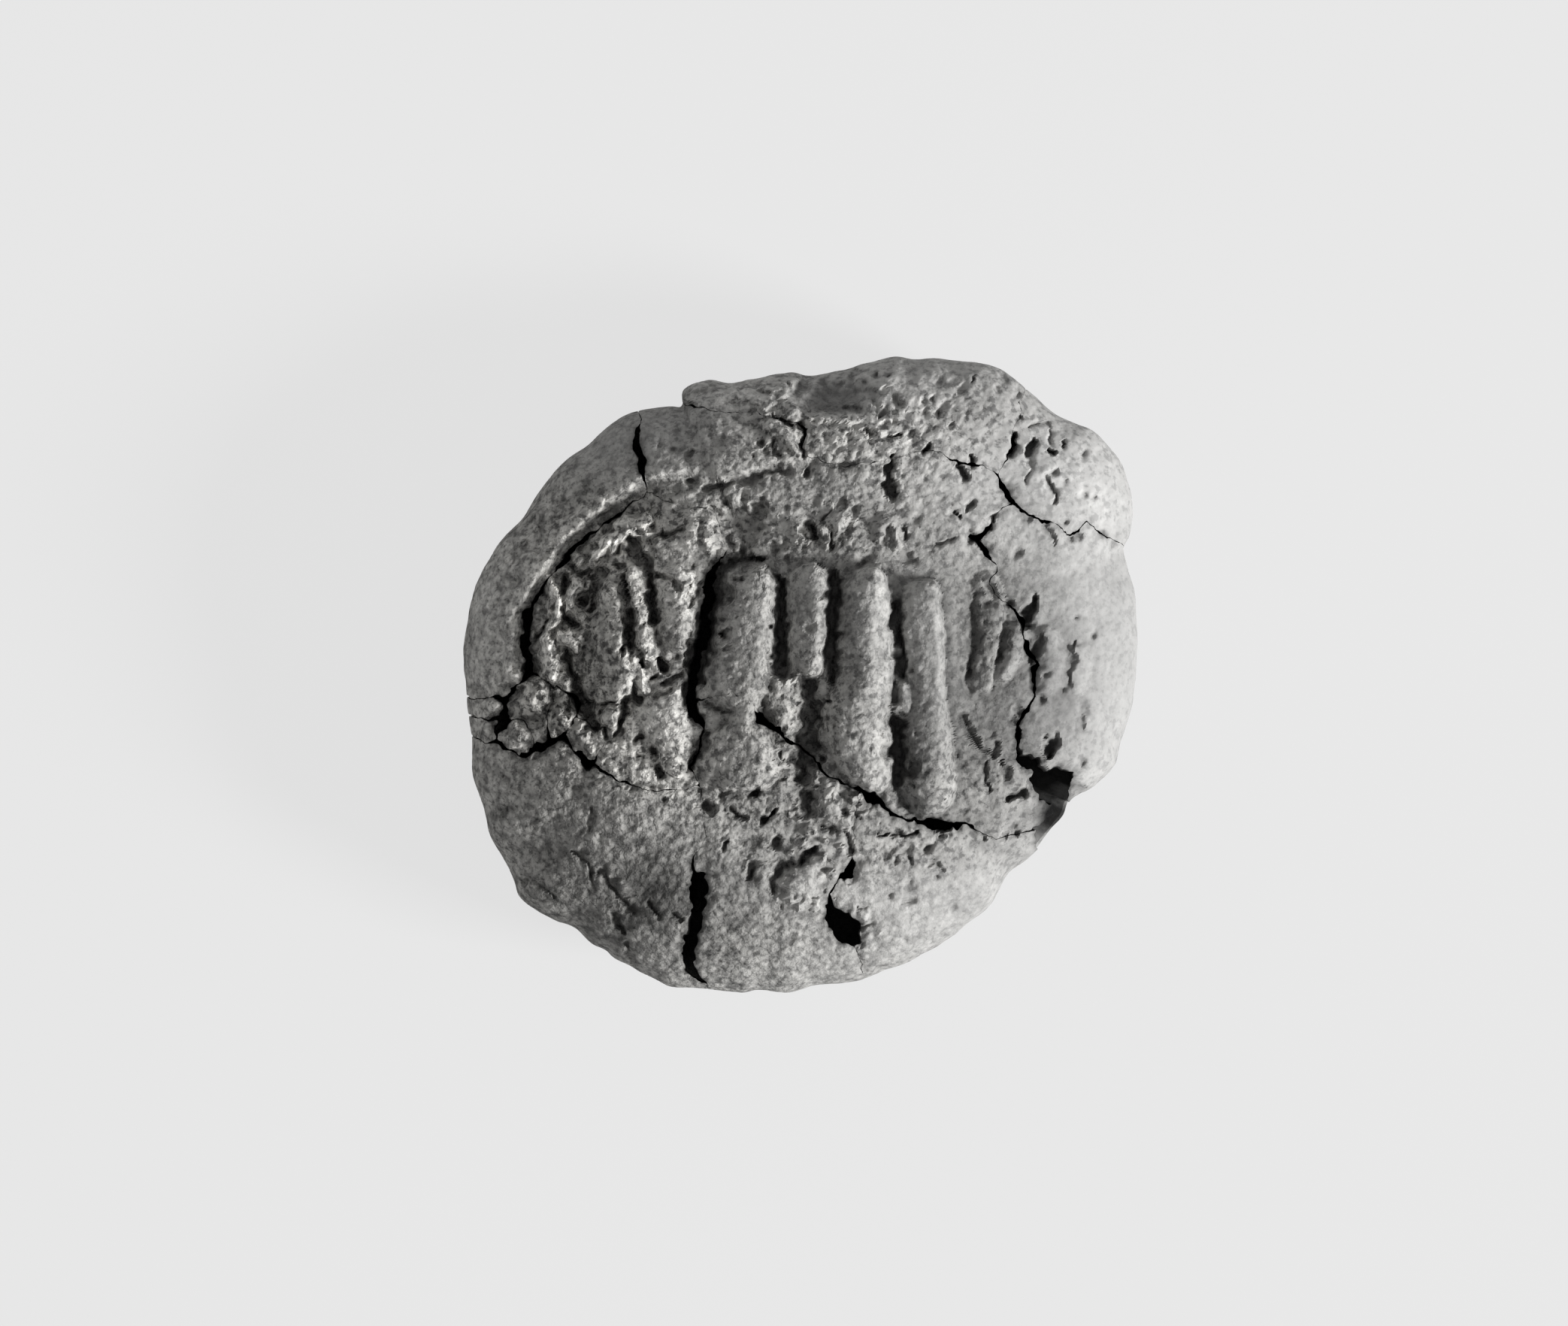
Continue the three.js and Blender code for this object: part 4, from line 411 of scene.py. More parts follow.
# Small sunk strokes, in the same way, the depth as a share of the slots'
slot_depth = 0.72
slot_floor_share = 0.2
slot_brink_share = 1.5
sunk_shares = {
    "valley": (1.3, [
        (-0.245, 0.3, 0.034), (-0.255, 0.25, 0.038), (-0.262, 0.2, 0.036), (-0.275, 0.12, 0.032),
        (-0.292, 0.05, 0.03), (-0.31, -0.02, 0.022),
    ]),
    "valley_top": (1, [
        (-0.25, 0.31, 0.034), (-0.228, 0.338, 0.03), (-0.19, 0.352, 0.024),
        (-0.125, 0.348, 0.016),
    ]),
    "bar_gap": (1.1, [
        (-0.052, 0.28, 0.016), (-0.055, 0.2, 0.018), (-0.062, 0.1, 0.018), (-0.062, 0.01, 0.02),
    ]),
    "bar_slot": (1, [
        (0.105, 0.285, 0.018), (0.1, 0.24, 0.022), (0.093, 0.19, 0.02), (0.088, 0.1, 0.019),
        (0.087, -0.02, 0.016),
    ]),
    "ridge_slot": (0.9, [
        (0.285, 0.22, 0.012), (0.288, 0.15, 0.018), (0.292, 0.11, 0.018), (0.295, 0.04, 0.017),
        (0.298, -0.01, 0.014),
    ]),
    "foot_slot": (1.1, [(0.275, -0.15, 0.02), (0.285, -0.25, 0.032), (0.285, -0.34, 0.028)]),
    "middle_gap": (1.05, [
        (0.027, -0.03, 0.02), (0.03, -0.12, 0.026), (0.022, -0.2, 0.034), (0.005, -0.25, 0.042),
        (0.01, -0.3, 0.032),
    ]),
    "bar_foot": (0.5, [(0.3, -0.37, 0.022), (0.33, -0.41, 0.02)]),
    "boss_edge": (0.7, [(-0.275, -0.19, 0.012), (-0.3, -0.24, 0.014), (-0.335, -0.28, 0.013)]),
    "upper_recess": (0.6, [
        (-0.21, 0.49, 0.04), (-0.18, 0.45, 0.05), (-0.15, 0.47, 0.034), (-0.12, 0.51, 0.02),
    ]),
    "recess_edge": (0.6, [(-0.235, 0.445, 0.016), (-0.215, 0.395, 0.013)]),
    "top_groove": (0.42, [
        (-0.275, 0.58, 0.016), (-0.22, 0.597, 0.01), (-0.15, 0.61, 0.012), (-0.1, 0.625, 0.012),
        (-0.07, 0.635, 0.01), (-0.045, 0.622, 0.01),
    ]),
    "upright_pit": (1.05, [
        (0.262, 0.68, 0.004), (0.258, 0.65, 0.008), (0.245, 0.63, 0.007), (0.255, 0.61, 0.0095),
        (0.245, 0.6, 0.0085), (0.265, 0.565, 0.0105),
    ]),
    "top_hollow": (0.5, [(0.06, 0.868, 0.06), (0.13, 0.865, 0.064)]),
    "hollow_foot": (0.55, [(0.06, 0.835, 0.02), (0.115, 0.83, 0.024), (0.165, 0.83, 0.018)]),
    "hollow_end": (0.7, [(0.003, 0.905, 0.026)]),
    "top_corner": (0.5, [(-0.345, 0.845, 0.016), (-0.325, 0.842, 0.014)]),
    "top_notch": (0.34, [(-0.33, 0.866, 0.012), (-0.27, 0.885, 0.013), (-0.205, 0.9, 0.014)]),
    "arc_strip": (0.84, [(0.03, 0.455, 0.0075), (0.04, 0.42, 0.0075)]),
    "arc_spot": (0.63, [(0.08, 0.42, 0.006), (0.09, 0.395, 0.006)]),
    "arc_shade": (0.47, [(-0.005, 0.44, 0.006), (0.015, 0.41, 0.006)]),
    "arc_line": (0.47, [(0.305, 0.46, 0.006), (0.31, 0.42, 0.006)]),
    "right_arc": (0.3, [(0.45, 0.43, 0.006), (0.43, 0.415, 0.007), (0.4, 0.405, 0.006)]),
    "boss_shade": (0.55, [(0.015, -0.385, 0.022), (0.025, -0.43, 0.022)]),
    "boss_foot": (0.45, [(0.04, -0.465, 0.012), (0.095, -0.485, 0.014)]),
    "slant_pit": (0.95, [(-0.112, -0.457, 0.009), (-0.078, -0.425, 0.0105)]),
    "round_pit": (0.95, [(-0.135, -0.37, 0.015)]),
    "side_pit": (0.6, [(-0.285, -0.412, 0.018)]),
    "boss_rim": (0.5, [
        (-0.03, -0.6, 0.014), (-0.06, -0.617, 0.018), (-0.08, -0.645, 0.017),
        (-0.088, -0.685, 0.01),
    ]),
    "corner_pit": (0.89, [
        (-0.005, -0.595, 0.0105), (0.018, -0.575, 0.015), (0.037, -0.547, 0.01),
    ]),
    "lower_slit": (0.7, [(-0.138, -0.605, 0.009), (-0.148, -0.635, 0.009)]),
    "dark_blob": (0.6, [(-0.075, -0.545, 0.013), (-0.068, -0.52, 0.01)]),
    "small_slot": (0.5, [(-0.22, -0.52, 0.007), (-0.235, -0.54, 0.007)]),
    "branch_line": (0.5, [(-0.212, -0.42, 0.009), (-0.19, -0.445, 0.01), (-0.165, -0.45, 0.008)]),
    "bead_line": (0.4, [(0.13, -0.505, 0.007), (0.138, -0.53, 0.008), (0.145, -0.56, 0.007)]),
    "hairline": (0.5, [
        (0.23, -0.505, 0.006), (0.26, -0.5, 0.007), (0.31, -0.5, 0.007), (0.345, -0.49, 0.006),
    ]),
    "hole_foot": (0.16, [(0.158, -0.87, 0.012), (0.17, -0.9, 0.01), (0.188, -0.93, 0.008)]),
    "lump_side": (0.25, [
        (0.165, -0.738, 0.007), (0.197, -0.75, 0.008), (0.206, -0.785, 0.008),
        (0.18, -0.803, 0.007),
    ]),
    "pit_line": (0.72, [(0.46, 0.655, 0.006), (0.475, 0.645, 0.0095), (0.485, 0.62, 0.008)]),
    "slant_slot": (0.77, [(0.348, 0.692, 0.006), (0.374, 0.71, 0.006)]),
    "corner_slot": (0.94, [(0.692, 0.735, 0.007), (0.68, 0.715, 0.0075), (0.678, 0.69, 0.006)]),
    "corner_arc": (0.33, [
        (0.68, 0.78, 0.004), (0.705, 0.795, 0.005), (0.73, 0.79, 0.005), (0.745, 0.755, 0.004),
        (0.743, 0.72, 0.005),
    ]),
    "corner_pits": (0.88, [(0.735, 0.702, 0.009), (0.755, 0.695, 0.008)]),
    "corner_line": (0.44, [
        (0.73, 0.615, 0.006), (0.738, 0.59, 0.007), (0.75, 0.57, 0.006), (0.755, 0.55, 0.0055),
        (0.75, 0.53, 0.004),
    ]),
    "inner_line": (0.5, [(0.45, 0.505, 0.0055), (0.47, 0.495, 0.007)]),
    "top_line": (0.5, [(0.255, 0.74, 0.008), (0.285, 0.742, 0.008)]),
    "side_hairline": (0.4, [(-0.28, -0.09, 0.005), (-0.25, -0.115, 0.006), (-0.2, -0.13, 0.005)]),
    "first_hairline": (0.29, [
        (-0.68, -0.555, 0.006), (-0.655, -0.565, 0.008), (-0.622, -0.6, 0.009),
        (-0.615, -0.67, 0.008),
    ]),
    "second_hairline": (0.33, [
        (-0.59, -0.61, 0.008), (-0.562, -0.66, 0.01), (-0.53, -0.71, 0.009),
        (-0.49, -0.742, 0.008),
    ]),
    "third_hairline": (0.45, [
        (-0.552, -0.75, 0.008), (-0.54, -0.78, 0.011), (-0.522, -0.815, 0.009),
    ]),
    "fourth_hairline": (0.39, [
        (-0.513, -0.85, 0.009), (-0.5, -0.885, 0.01), (-0.5, -0.92, 0.007),
    ]),
    "fifth_hairline": (0.33, [
        (-0.443, -0.71, 0.007), (-0.432, -0.737, 0.01), (-0.41, -0.755, 0.007),
    ]),
    "sixth_hairline": (0.39, [(-0.372, -0.75, 0.007), (-0.347, -0.772, 0.008)]),
    "outer_hairline": (0.26, [
        (-0.8, -0.635, 0.008), (-0.76, -0.67, 0.009), (-0.725, -0.7, 0.008),
    ]),
    "left_groove": (0.26, [(-0.618, -0.415, 0.009), (-0.625, -0.49, 0.01)]),
    "lip_groove": (0.26, [(-0.75, 0.38, 0.007), (-0.77, 0.35, 0.007)]),
    "lip_groove_below": (0.26, [(-0.84, 0.2, 0.007), (-0.865, 0.125, 0.007)]),
    "ridge_hollow": (0.75, [
        (-0.5, 0.425, 0.018), (-0.485, 0.385, 0.026), (-0.475, 0.35, 0.022),
        (-0.448, 0.355, 0.014),
    ]),
    "hollow_stem": (0.9, [(-0.46, 0.37, 0.014), (-0.445, 0.33, 0.012), (-0.443, 0.295, 0.016)]),
    "lobe_groove": (1, [
        (-0.443, 0.3, 0.014), (-0.44, 0.27, 0.01), (-0.432, 0.22, 0.018), (-0.425, 0.175, 0.01),
    ]),
    "lobe_arc": (0.6, [
        (-0.425, 0.31, 0.008), (-0.395, 0.305, 0.009), (-0.375, 0.285, 0.01),
        (-0.36, 0.26, 0.008),
    ]),
    "lobe_slit": (0.6, [(-0.318, 0.24, 0.007), (-0.319, 0.205, 0.007)]),
    "top_slot": (0.7, [(-0.41, 0.425, 0.01), (-0.39, 0.435, 0.012), (-0.355, 0.445, 0.009)]),
    "column_groove": (1, [(-0.487, 0.2, 0.014), (-0.495, 0.15, 0.016), (-0.497, 0.1, 0.014)]),
    "column_line": (0.5, [(-0.512, 0.3, 0.007), (-0.505, 0.27, 0.008), (-0.495, 0.235, 0.007)]),
    "column_side": (0.7, [(-0.6, 0.28, 0.02), (-0.605, 0.24, 0.018), (-0.615, 0.2, 0.014)]),
    "column_slot": (1.15, [
        (-0.69, 0.06, 0.014), (-0.68, 0.015, 0.014), (-0.66, -0.04, 0.02), (-0.65, -0.085, 0.03),
        (-0.63, -0.125, 0.028), (-0.605, -0.165, 0.016),
    ]),
    "shaded_strip": (0.4, [(-0.655, 0.07, 0.02), (-0.65, 0.02, 0.02)]),
    "left_pit": (0.9, [(-0.703, 0.3, 0.012), (-0.7, 0.28, 0.016), (-0.706, 0.25, 0.008)]),
    "lump_pit": (1, [(-0.7, 0.18, 0.01), (-0.685, 0.168, 0.016), (-0.665, 0.152, 0.012)]),
    "ring_pit": (1.1, [(-0.643, 0.235, 0.013), (-0.632, 0.215, 0.014)]),
    "line_pit": (0.8, [(-0.73, 0.14, 0.009), (-0.728, 0.125, 0.009)]),
    "line_shade": (0.5, [(-0.735, 0.185, 0.007), (-0.755, 0.15, 0.008), (-0.775, 0.12, 0.007)]),
    "smile": (0.5, [(-0.545, 0.34, 0.006), (-0.53, 0.333, 0.008), (-0.518, 0.34, 0.006)]),
    "patch_pit": (0.5, [(-0.54, 0.405, 0.01), (-0.537, 0.38, 0.009)]),
    "lump_shade": (0.6, [
        (-0.675, 0.335, 0.01), (-0.668, 0.312, 0.011), (-0.64, 0.31, 0.009),
        (-0.62, 0.32, 0.009),
    ]),
    "ridge_shade": (0.6, [(-0.6, 0.345, 0.01), (-0.595, 0.31, 0.012), (-0.575, 0.31, 0.01)]),
    "foot_pit": (1.1, [(-0.805, 0.02, 0.02), (-0.795, 0, 0.018)]),
    "lobe_pit": (1.1, [(-0.415, 0.05, 0.014), (-0.4, 0.025, 0.016)]),
    "lobe_pit_below": (0.7, [(-0.43, -0.012, 0.009), (-0.418, -0.004, 0.009)]),
    "slot_pit": (0.8, [(-0.462, 0.065, 0.008), (-0.462, 0.03, 0.009)]),
    "edge_slot": (0.9, [(-0.512, 0.095, 0.009), (-0.517, 0.07, 0.008)]),
    "hook": (0.9, [
        (-0.485, -0.05, 0.008), (-0.483, -0.068, 0.009), (-0.47, -0.078, 0.012),
        (-0.462, -0.072, 0.009),
    ]),
    "mound_slit": (0.5, [(-0.425, -0.07, 0.006), (-0.4, -0.06, 0.007), (-0.378, -0.052, 0.006)]),
    "lump_edge": (0.8, [
        (-0.515, -0.085, 0.01), (-0.52, -0.12, 0.013), (-0.53, -0.155, 0.012),
        (-0.545, -0.185, 0.009),
    ]),
    "lump_left": (0.6, [
        (-0.592, -0.1, 0.009), (-0.595, -0.14, 0.01), (-0.58, -0.175, 0.01),
        (-0.57, -0.195, 0.012),
    ]),
    "lump_top": (0.6, [(-0.585, -0.105, 0.007), (-0.55, -0.092, 0.011)]),
    "mound_pit": (0.8, [(-0.488, -0.208, 0.008), (-0.47, -0.198, 0.008)]),
    "upper_dot": (0.95, [(-0.437, -0.235, 0.007), (-0.432, -0.255, 0.009)]),
    "lower_dot": (0.95, [(-0.42, -0.29, 0.008), (-0.417, -0.305, 0.009)]),
    "notch": (1.2, [(-0.335, -0.03, 0.012), (-0.322, -0.065, 0.018), (-0.312, -0.11, 0.016)]),
    "branch": (0.7, [(-0.405, -0.03, 0.007), (-0.375, -0.01, 0.01), (-0.35, 0, 0.014)]),
    "dark_pit": (0.94, [(0.69, 0.24, 0.01), (0.675, 0.205, 0.018), (0.66, 0.165, 0.012)]),
    "outer_slot": (0.24, [(0.828, -0.1, 0.009), (0.827, -0.17, 0.01)]),
    "oval_shade": (0.34, [(0.552, 0.28, 0.014), (0.575, 0.235, 0.014), (0.55, 0.22, 0.012)]),
    "field_groove": (0.34, [
        (0.468, -0.13, 0.0105), (0.476, -0.165, 0.013), (0.5, -0.2, 0.009),
        (0.522, -0.235, 0.009), (0.55, -0.255, 0.0135),
    ]),
    "field_shade": (0.34, [(0.573, -0.23, 0.0135), (0.565, -0.265, 0.012)]),
    "lower_shade": (0.34, [(0.54, -0.28, 0.0075), (0.535, -0.34, 0.009), (0.55, -0.36, 0.006)]),
    "side_shade": (0.32, [(0.59, -0.275, 0.0075), (0.597, -0.32, 0.007)]),
    "cord_pit": (1.07, [(0.738, -0.222, 0.014), (0.733, -0.262, 0.012)]),
    "right_pit": (0.74, [(0.61, -0.39, 0.0075), (0.648, -0.37, 0.008)]),
    "low_slot": (0.84, [(0.405, -0.478, 0.012), (0.44, -0.475, 0.01)]),
    "right_slot": (0.4, [
        (0.61, 0.14, 0.012), (0.602, 0.11, 0.018), (0.6, 0.085, 0.016), (0.585, 0.04, 0.008),
    ]),
    "slot_beside": (0.5, [(0.712, 0.12, 0.007), (0.7, 0.07, 0.01), (0.688, 0.04, 0.012)]),
    "low_bar_edge": (0.3, [
        (0.52, 0.25, 0.012), (0.512, 0.2, 0.012), (0.518, 0.12, 0.011), (0.505, 0.05, 0.01),
        (0.495, 0, 0.009),
    ]),
    "arc_top": (0.42, [(0.055, 0.475, 0.005), (0.08, 0.495, 0.006)]),
    "wedge_marks": (0.53, [(-0.08, 0.8, 0.005), (-0.05, 0.79, 0.007), (-0.02, 0.775, 0.005)]),
    "wedge_slot": (0.53, [
        (0, 0.78, 0.006), (0.015, 0.757, 0.009), (0.005, 0.72, 0.006), (0.01, 0.675, 0.006),
    ]),
    "wedge_foot": (0.53, [(0.015, 0.63, 0.006), (0.014, 0.61, 0.006)]),
    "pit_hook": (0.53, [(-0.08, 0.715, 0.006), (-0.075, 0.682, 0.007), (-0.06, 0.675, 0.006)]),
    "lip_notch": (0.53, [(-0.22, 0.895, 0.009), (-0.205, 0.888, 0.0075)]),
    "lump_slot": (0.55, [(0.255, 0.738, 0.0055), (0.29, 0.745, 0.0055)]),
    "lump_dash": (0.55, [(0.245, 0.82, 0.006), (0.235, 0.8, 0.0055)]),
    "lump_mark": (0.5, [(0.185, 0.765, 0.006), (0.2, 0.745, 0.0055)]),
    "strong_slot": (0.99, [
        (0.63, 0.745, 0.0055), (0.628, 0.73, 0.007), (0.635, 0.71, 0.0075), (0.617, 0.68, 0.006),
    ]),
    "corner_tail": (0.25, [(0.678, 0.69, 0.006), (0.68, 0.64, 0.007), (0.665, 0.6, 0.006)]),
    "corner_dash": (0.55, [(0.785, 0.735, 0.006), (0.78, 0.715, 0.0055)]),
    "pit_beside": (0.77, [(0.5, 0.685, 0.006), (0.508, 0.65, 0.0075)]),
    "inner_dash": (0.5, [(0.49, 0.515, 0.0055), (0.505, 0.54, 0.0055)]),
    "cord_slot": (0.55, [(0.567, 0.5, 0.0055), (0.565, 0.46, 0.006), (0.545, 0.455, 0.0055)]),
    "black_slot": (0.99, [(0.51, 0.435, 0.008), (0.525, 0.418, 0.0095), (0.54, 0.4, 0.007)]),
    "faint_line": (0.3, [(0.72, 0.46, 0.006), (0.735, 0.435, 0.006), (0.75, 0.41, 0.005)]),
    "lump_end": (0.44, [(0.505, 0.94, 0.0055), (0.5, 0.92, 0.0055)]),
    "far_slot": (0.22, [(0.802, 0.105, 0.004), (0.798, 0.04, 0.008), (0.79, -0.04, 0.005)]),
}

# Small pits: places, radii as shares of the face's half width, and depths as shares
pit_depth = 0.5
pit_brink_share = 1.7
pit_shares = [
    (-0.32, 0.335, 0.012, 0.6), (-0.32, 0.23, 0.012, 0.5), (-0.465, 0.07, 0.01, 0.5),
    (0.03, 0.14, 0.012, 0.5), (-0.172, 0.46, 0.014, 0.4), (-0.13, 0.45, 0.012, 0.4),
    (-0.085, 0.385, 0.024, 0.5), (-0.045, 0.35, 0.012, 0.5), (0.11, 0.53, 0.016, 0.5),
    (0.035, 0.525, 0.014, 0.4), (0.155, 0.51, 0.012, 0.4), (0.335, 0.475, 0.012, 0.4),
    (0.135, 0.45, 0.012, 0.4), (0.19, 0.35, 0.018, 0.4), (0.32, 0.36, 0.014, 0.5),
    (0.45, 0.505, 0.01, 0.4), (-0.12, 0.72, 0.011, 0.8), (-0.11, 0.69, 0.011, 0.6),
    (-0.085, 0.705, 0.011, 0.4), (-0.065, 0.682, 0.01, 0.5), (-0.42, 0.725, 0.011, 0.4),
    (-0.38, 0.708, 0.012, 0.5), (-0.325, 0.703, 0.012, 0.7), (-0.325, 0.605, 0.012, 0.6),
    (-0.44, 0.46, 0.012, 0.5), (-0.42, 0.575, 0.01, 0.4), (-0.365, 0.575, 0.01, 0.4),
    (-0.4, 0.555, 0.01, 0.4), (-0.14, 0.905, 0.012, 0.5), (-0.12, 0.885, 0.011, 0.5),
    (0.225, 0.94, 0.014, 0.6), (0.26, 0.94, 0.01, 0.4), (0.29, 0.847, 0.014, 0.8),
    (0.275, 0.79, 0.012, 0.5), (0.325, 0.75, 0.011, 0.4), (0.365, 0.82, 0.011, 0.5),
    (0.402, 0.808, 0.012, 0.6), (0.387, 0.862, 0.011, 0.5), (0.447, 0.772, 0.01, 0.6),
    (0.42, 0.838, 0.01, 0.4), (0.47, 0.885, 0.012, 0.4), (0.405, 0.92, 0.016, 0.3),
    (0.576, 0.906, 0.01, 0.4), (0.597, 0.925, 0.01, 0.4), (0.636, 0.88, 0.014, 0.5),
    (0.655, 0.808, 0.011, 0.6), (0.842, 0.69, 0.011, 0.5), (0.755, 0.627, 0.011, 0.6),
    (0.782, 0.605, 0.01, 0.4), (0.842, 0.567, 0.011, 0.4), (0.87, 0.555, 0.01, 0.4),
    (0.78, 0.472, 0.012, 0.5), (0.79, 0.428, 0.012, 0.5), (0.965, 0.53, 0.011, 0.4),
    (0.925, 0.41, 0.012, 0.4), (0.63, 0.385, 0.01, 0.5), (0.67, 0.49, 0.01, 0.4),
    (0.565, 0.28, 0.012, 0.4), (0.615, 0.225, 0.011, 0.6), (0.725, -0.01, 0.01, 0.5),
    (0.71, -0.09, 0.01, 0.5), (0.815, -0.36, 0.013, 0.7), (0.83, -0.28, 0.01, 0.4),
    (0.81, 0.18, 0.01, 0.4), (0.86, 0.12, 0.01, 0.4), (0.77, 0.095, 0.01, 0.4),
    (0.62, -0.15, 0.012, 0.5), (0.635, -0.12, 0.01, 0.4), (0.6, -0.3, 0.012, 0.4),
    (0.41, -0.508, 0.013, 0.5), (0.37, -0.55, 0.015, 0.7), (0.543, -0.515, 0.01, 0.5),
    (0.602, -0.503, 0.01, 0.4), (0.632, -0.496, 0.013, 0.7), (0.25, -0.565, 0.012, 0.4),
    (0.28, -0.587, 0.01, 0.5), (0.32, -0.58, 0.012, 0.5), (0.307, -0.557, 0.01, 0.4),
    (0.4, -0.6, 0.011, 0.5), (0.395, -0.64, 0.01, 0.4), (0.32, -0.67, 0.011, 0.3),
    (0.32, -0.718, 0.013, 0.5), (0.445, -0.735, 0.012, 0.3), (0.26, -0.7, 0.011, 0.4),
    (0.237, -0.925, 0.01, 0.4), (0.31, -0.835, 0.01, 0.25), (-0.235, -0.385, 0.012, 0.5),
    (-0.218, -0.378, 0.01, 0.5), (-0.17, -0.53, 0.01, 0.4), (-0.14, -0.53, 0.018, 0.3),
    (-0.03, -0.83, 0.014, 0.3), (-0.065, -0.735, 0.01, 0.4), (0.01, -0.72, 0.01, 0.25),
    (-0.475, -0.25, 0.01, 0.6), (-0.44, -0.35, 0.012, 0.5), (-0.5, -0.35, 0.01, 0.4),
    (-0.415, -0.39, 0.012, 0.4), (-0.655, -0.36, 0.013, 0.4), (-0.68, -0.315, 0.01, 0.3),
    (-0.87, -0.43, 0.01, 0.4), (-0.865, -0.33, 0.01, 0.3), (-0.812, -0.65, 0.01, 0.6),
    (-0.59, -0.5, 0.01, 0.3), (-0.6, -0.62, 0.01, 0.4), (-0.51, -0.47, 0.016, 0.25),
    (-0.3, -0.36, 0.012, 0.5), (-0.345, -0.925, 0.01, 0.4), (0.13, -0.83, 0.01, 0.5),
    (-0.15, 0.82, 0.011, 0.5), (0.04, 0.655, 0.01, 0.3), (0.12, 0.645, 0.013, 0.5),
    (-0.14, 0.68, 0.01, 0.5), (0.81, 0.435, 0.012, 0.5), (0.885, 0.445, 0.011, 0.5),
]

# The seal's sunk field: the foot of the rim that stands round its upper left, and how far the
# field lies below the rim at each place, as a share of the deepest. The places beyond the face
# close the field's outline.
field_depth = 0.62
field_wall_width = 0.5
field_fade_width = 4.2
rim_shares = [
    (-0.831, -0.04, 0.3), (-0.838, 0.05, 0.8), (-0.835, 0.15, 1), (-0.816, 0.22, 1),
    (-0.778, 0.29, 1), (-0.742, 0.34, 1), (-0.711, 0.39, 1), (-0.665, 0.44, 1), (-0.61, 0.5, 1),
    (-0.545, 0.55, 1), (-0.46, 0.61, 1), (-0.4, 0.62, 0.8), (-0.33, 0.635, 0.6),
    (-0.25, 0.61, 0.5), (-0.15, 0.625, 0.5), (-0.05, 0.65, 0.35), (0.1, 0.67, 0.2),
    (0.25, 0.68, 0.05),
]
beyond_shares = [(0.9, 1.2), (1.4, -1.4), (-1.2, -1.4), (-1.1, -0.3)]

# From here on a patch is a place, its reaches across and up, and an amount. The first are
# broad swellings and hollows, in millimetres.
broad_shares = [
    (0.52, -0.02, 0.12, 0.3, -0.6), (0.68, 0.05, 0.05, 0.16, 0.12),
    (-0.6, -0.1, 0.1, 0.1, -0.24), (0.03, -0.2, 0.05, 0.12, -0.24),
    (0.1, 0.87, 0.12, 0.06, -0.2), (-0.17, 0.46, 0.08, 0.06, -0.3),
    (-0.33, 0.42, 0.08, 0.08, 0.15), (0.04, 0.42, 0.05, 0.06, -0.15),
    (0.22, 0.54, 0.1, 0.08, -0.18), (0.12, 0.61, 0.06, 0.05, 0.09),
    (-0.2, 0.68, 0.16, 0.04, 0.15), (0.42, 0.6, 0.12, 0.08, 0.12),
    (0.08, 0.73, 0.08, 0.05, 0.09), (0.36, 0.46, 0.08, 0.08, -0.09),
    (-0.5, -0.43, 0.12, 0.08, 0.15), (-0.44, -0.68, 0.1, 0.07, -0.21),
    (-0.66, -0.36, 0.05, 0.05, -0.12), (-0.74, -0.55, 0.08, 0.1, -0.12),
    (-0.6, -0.72, 0.05, 0.08, 0.12), (-0.48, -0.84, 0.08, 0.05, 0.12),
    (-0.52, -0.67, 0.04, 0.04, 0.12), (0.3, -0.52, 0.12, 0.05, -0.18),
    (0.44, -0.66, 0.14, 0.08, 0.09), (0.19, -0.82, 0.05, 0.06, -0.18),
    (0.28, -0.8, 0.05, 0.06, 0.09),
]

# Painted highlights: how far each strip lightens the clay, then its line and half widths
highlight_core_share = 0.4
highlight_end_share = 1.5
painted_highlight_shares = {
    "rim_wall": (0.08, [
        (-0.84, 0, 0.026), (-0.842, 0.1, 0.03), (-0.83, 0.2, 0.032), (-0.804, 0.255, 0.034),
        (-0.775, 0.305, 0.038), (-0.738, 0.355, 0.042), (-0.708, 0.405, 0.04),
        (-0.658, 0.455, 0.036), (-0.61, 0.505, 0.034), (-0.545, 0.555, 0.034),
        (-0.48, 0.6, 0.03),
    ]),
    "border_ridge": (0.17, [
        (-0.61, 0.345, 0.024), (-0.6, 0.375, 0.034), (-0.57, 0.405, 0.04), (-0.54, 0.435, 0.038),
        (-0.5, 0.46, 0.036), (-0.45, 0.48, 0.028),
    ]),
    "left_line": (0.2, [
        (-0.735, 0.29, 0.018), (-0.715, 0.225, 0.022), (-0.738, 0.15, 0.026),
        (-0.748, 0.1, 0.03), (-0.738, -0.005, 0.024),
    ]),
    "left_lump": (0.22, [(-0.7, 0.125, 0.034), (-0.665, 0.085, 0.028)]),
    "ring_lump": (0.18, [(-0.665, 0.27, 0.034), (-0.68, 0.2, 0.028)]),
}
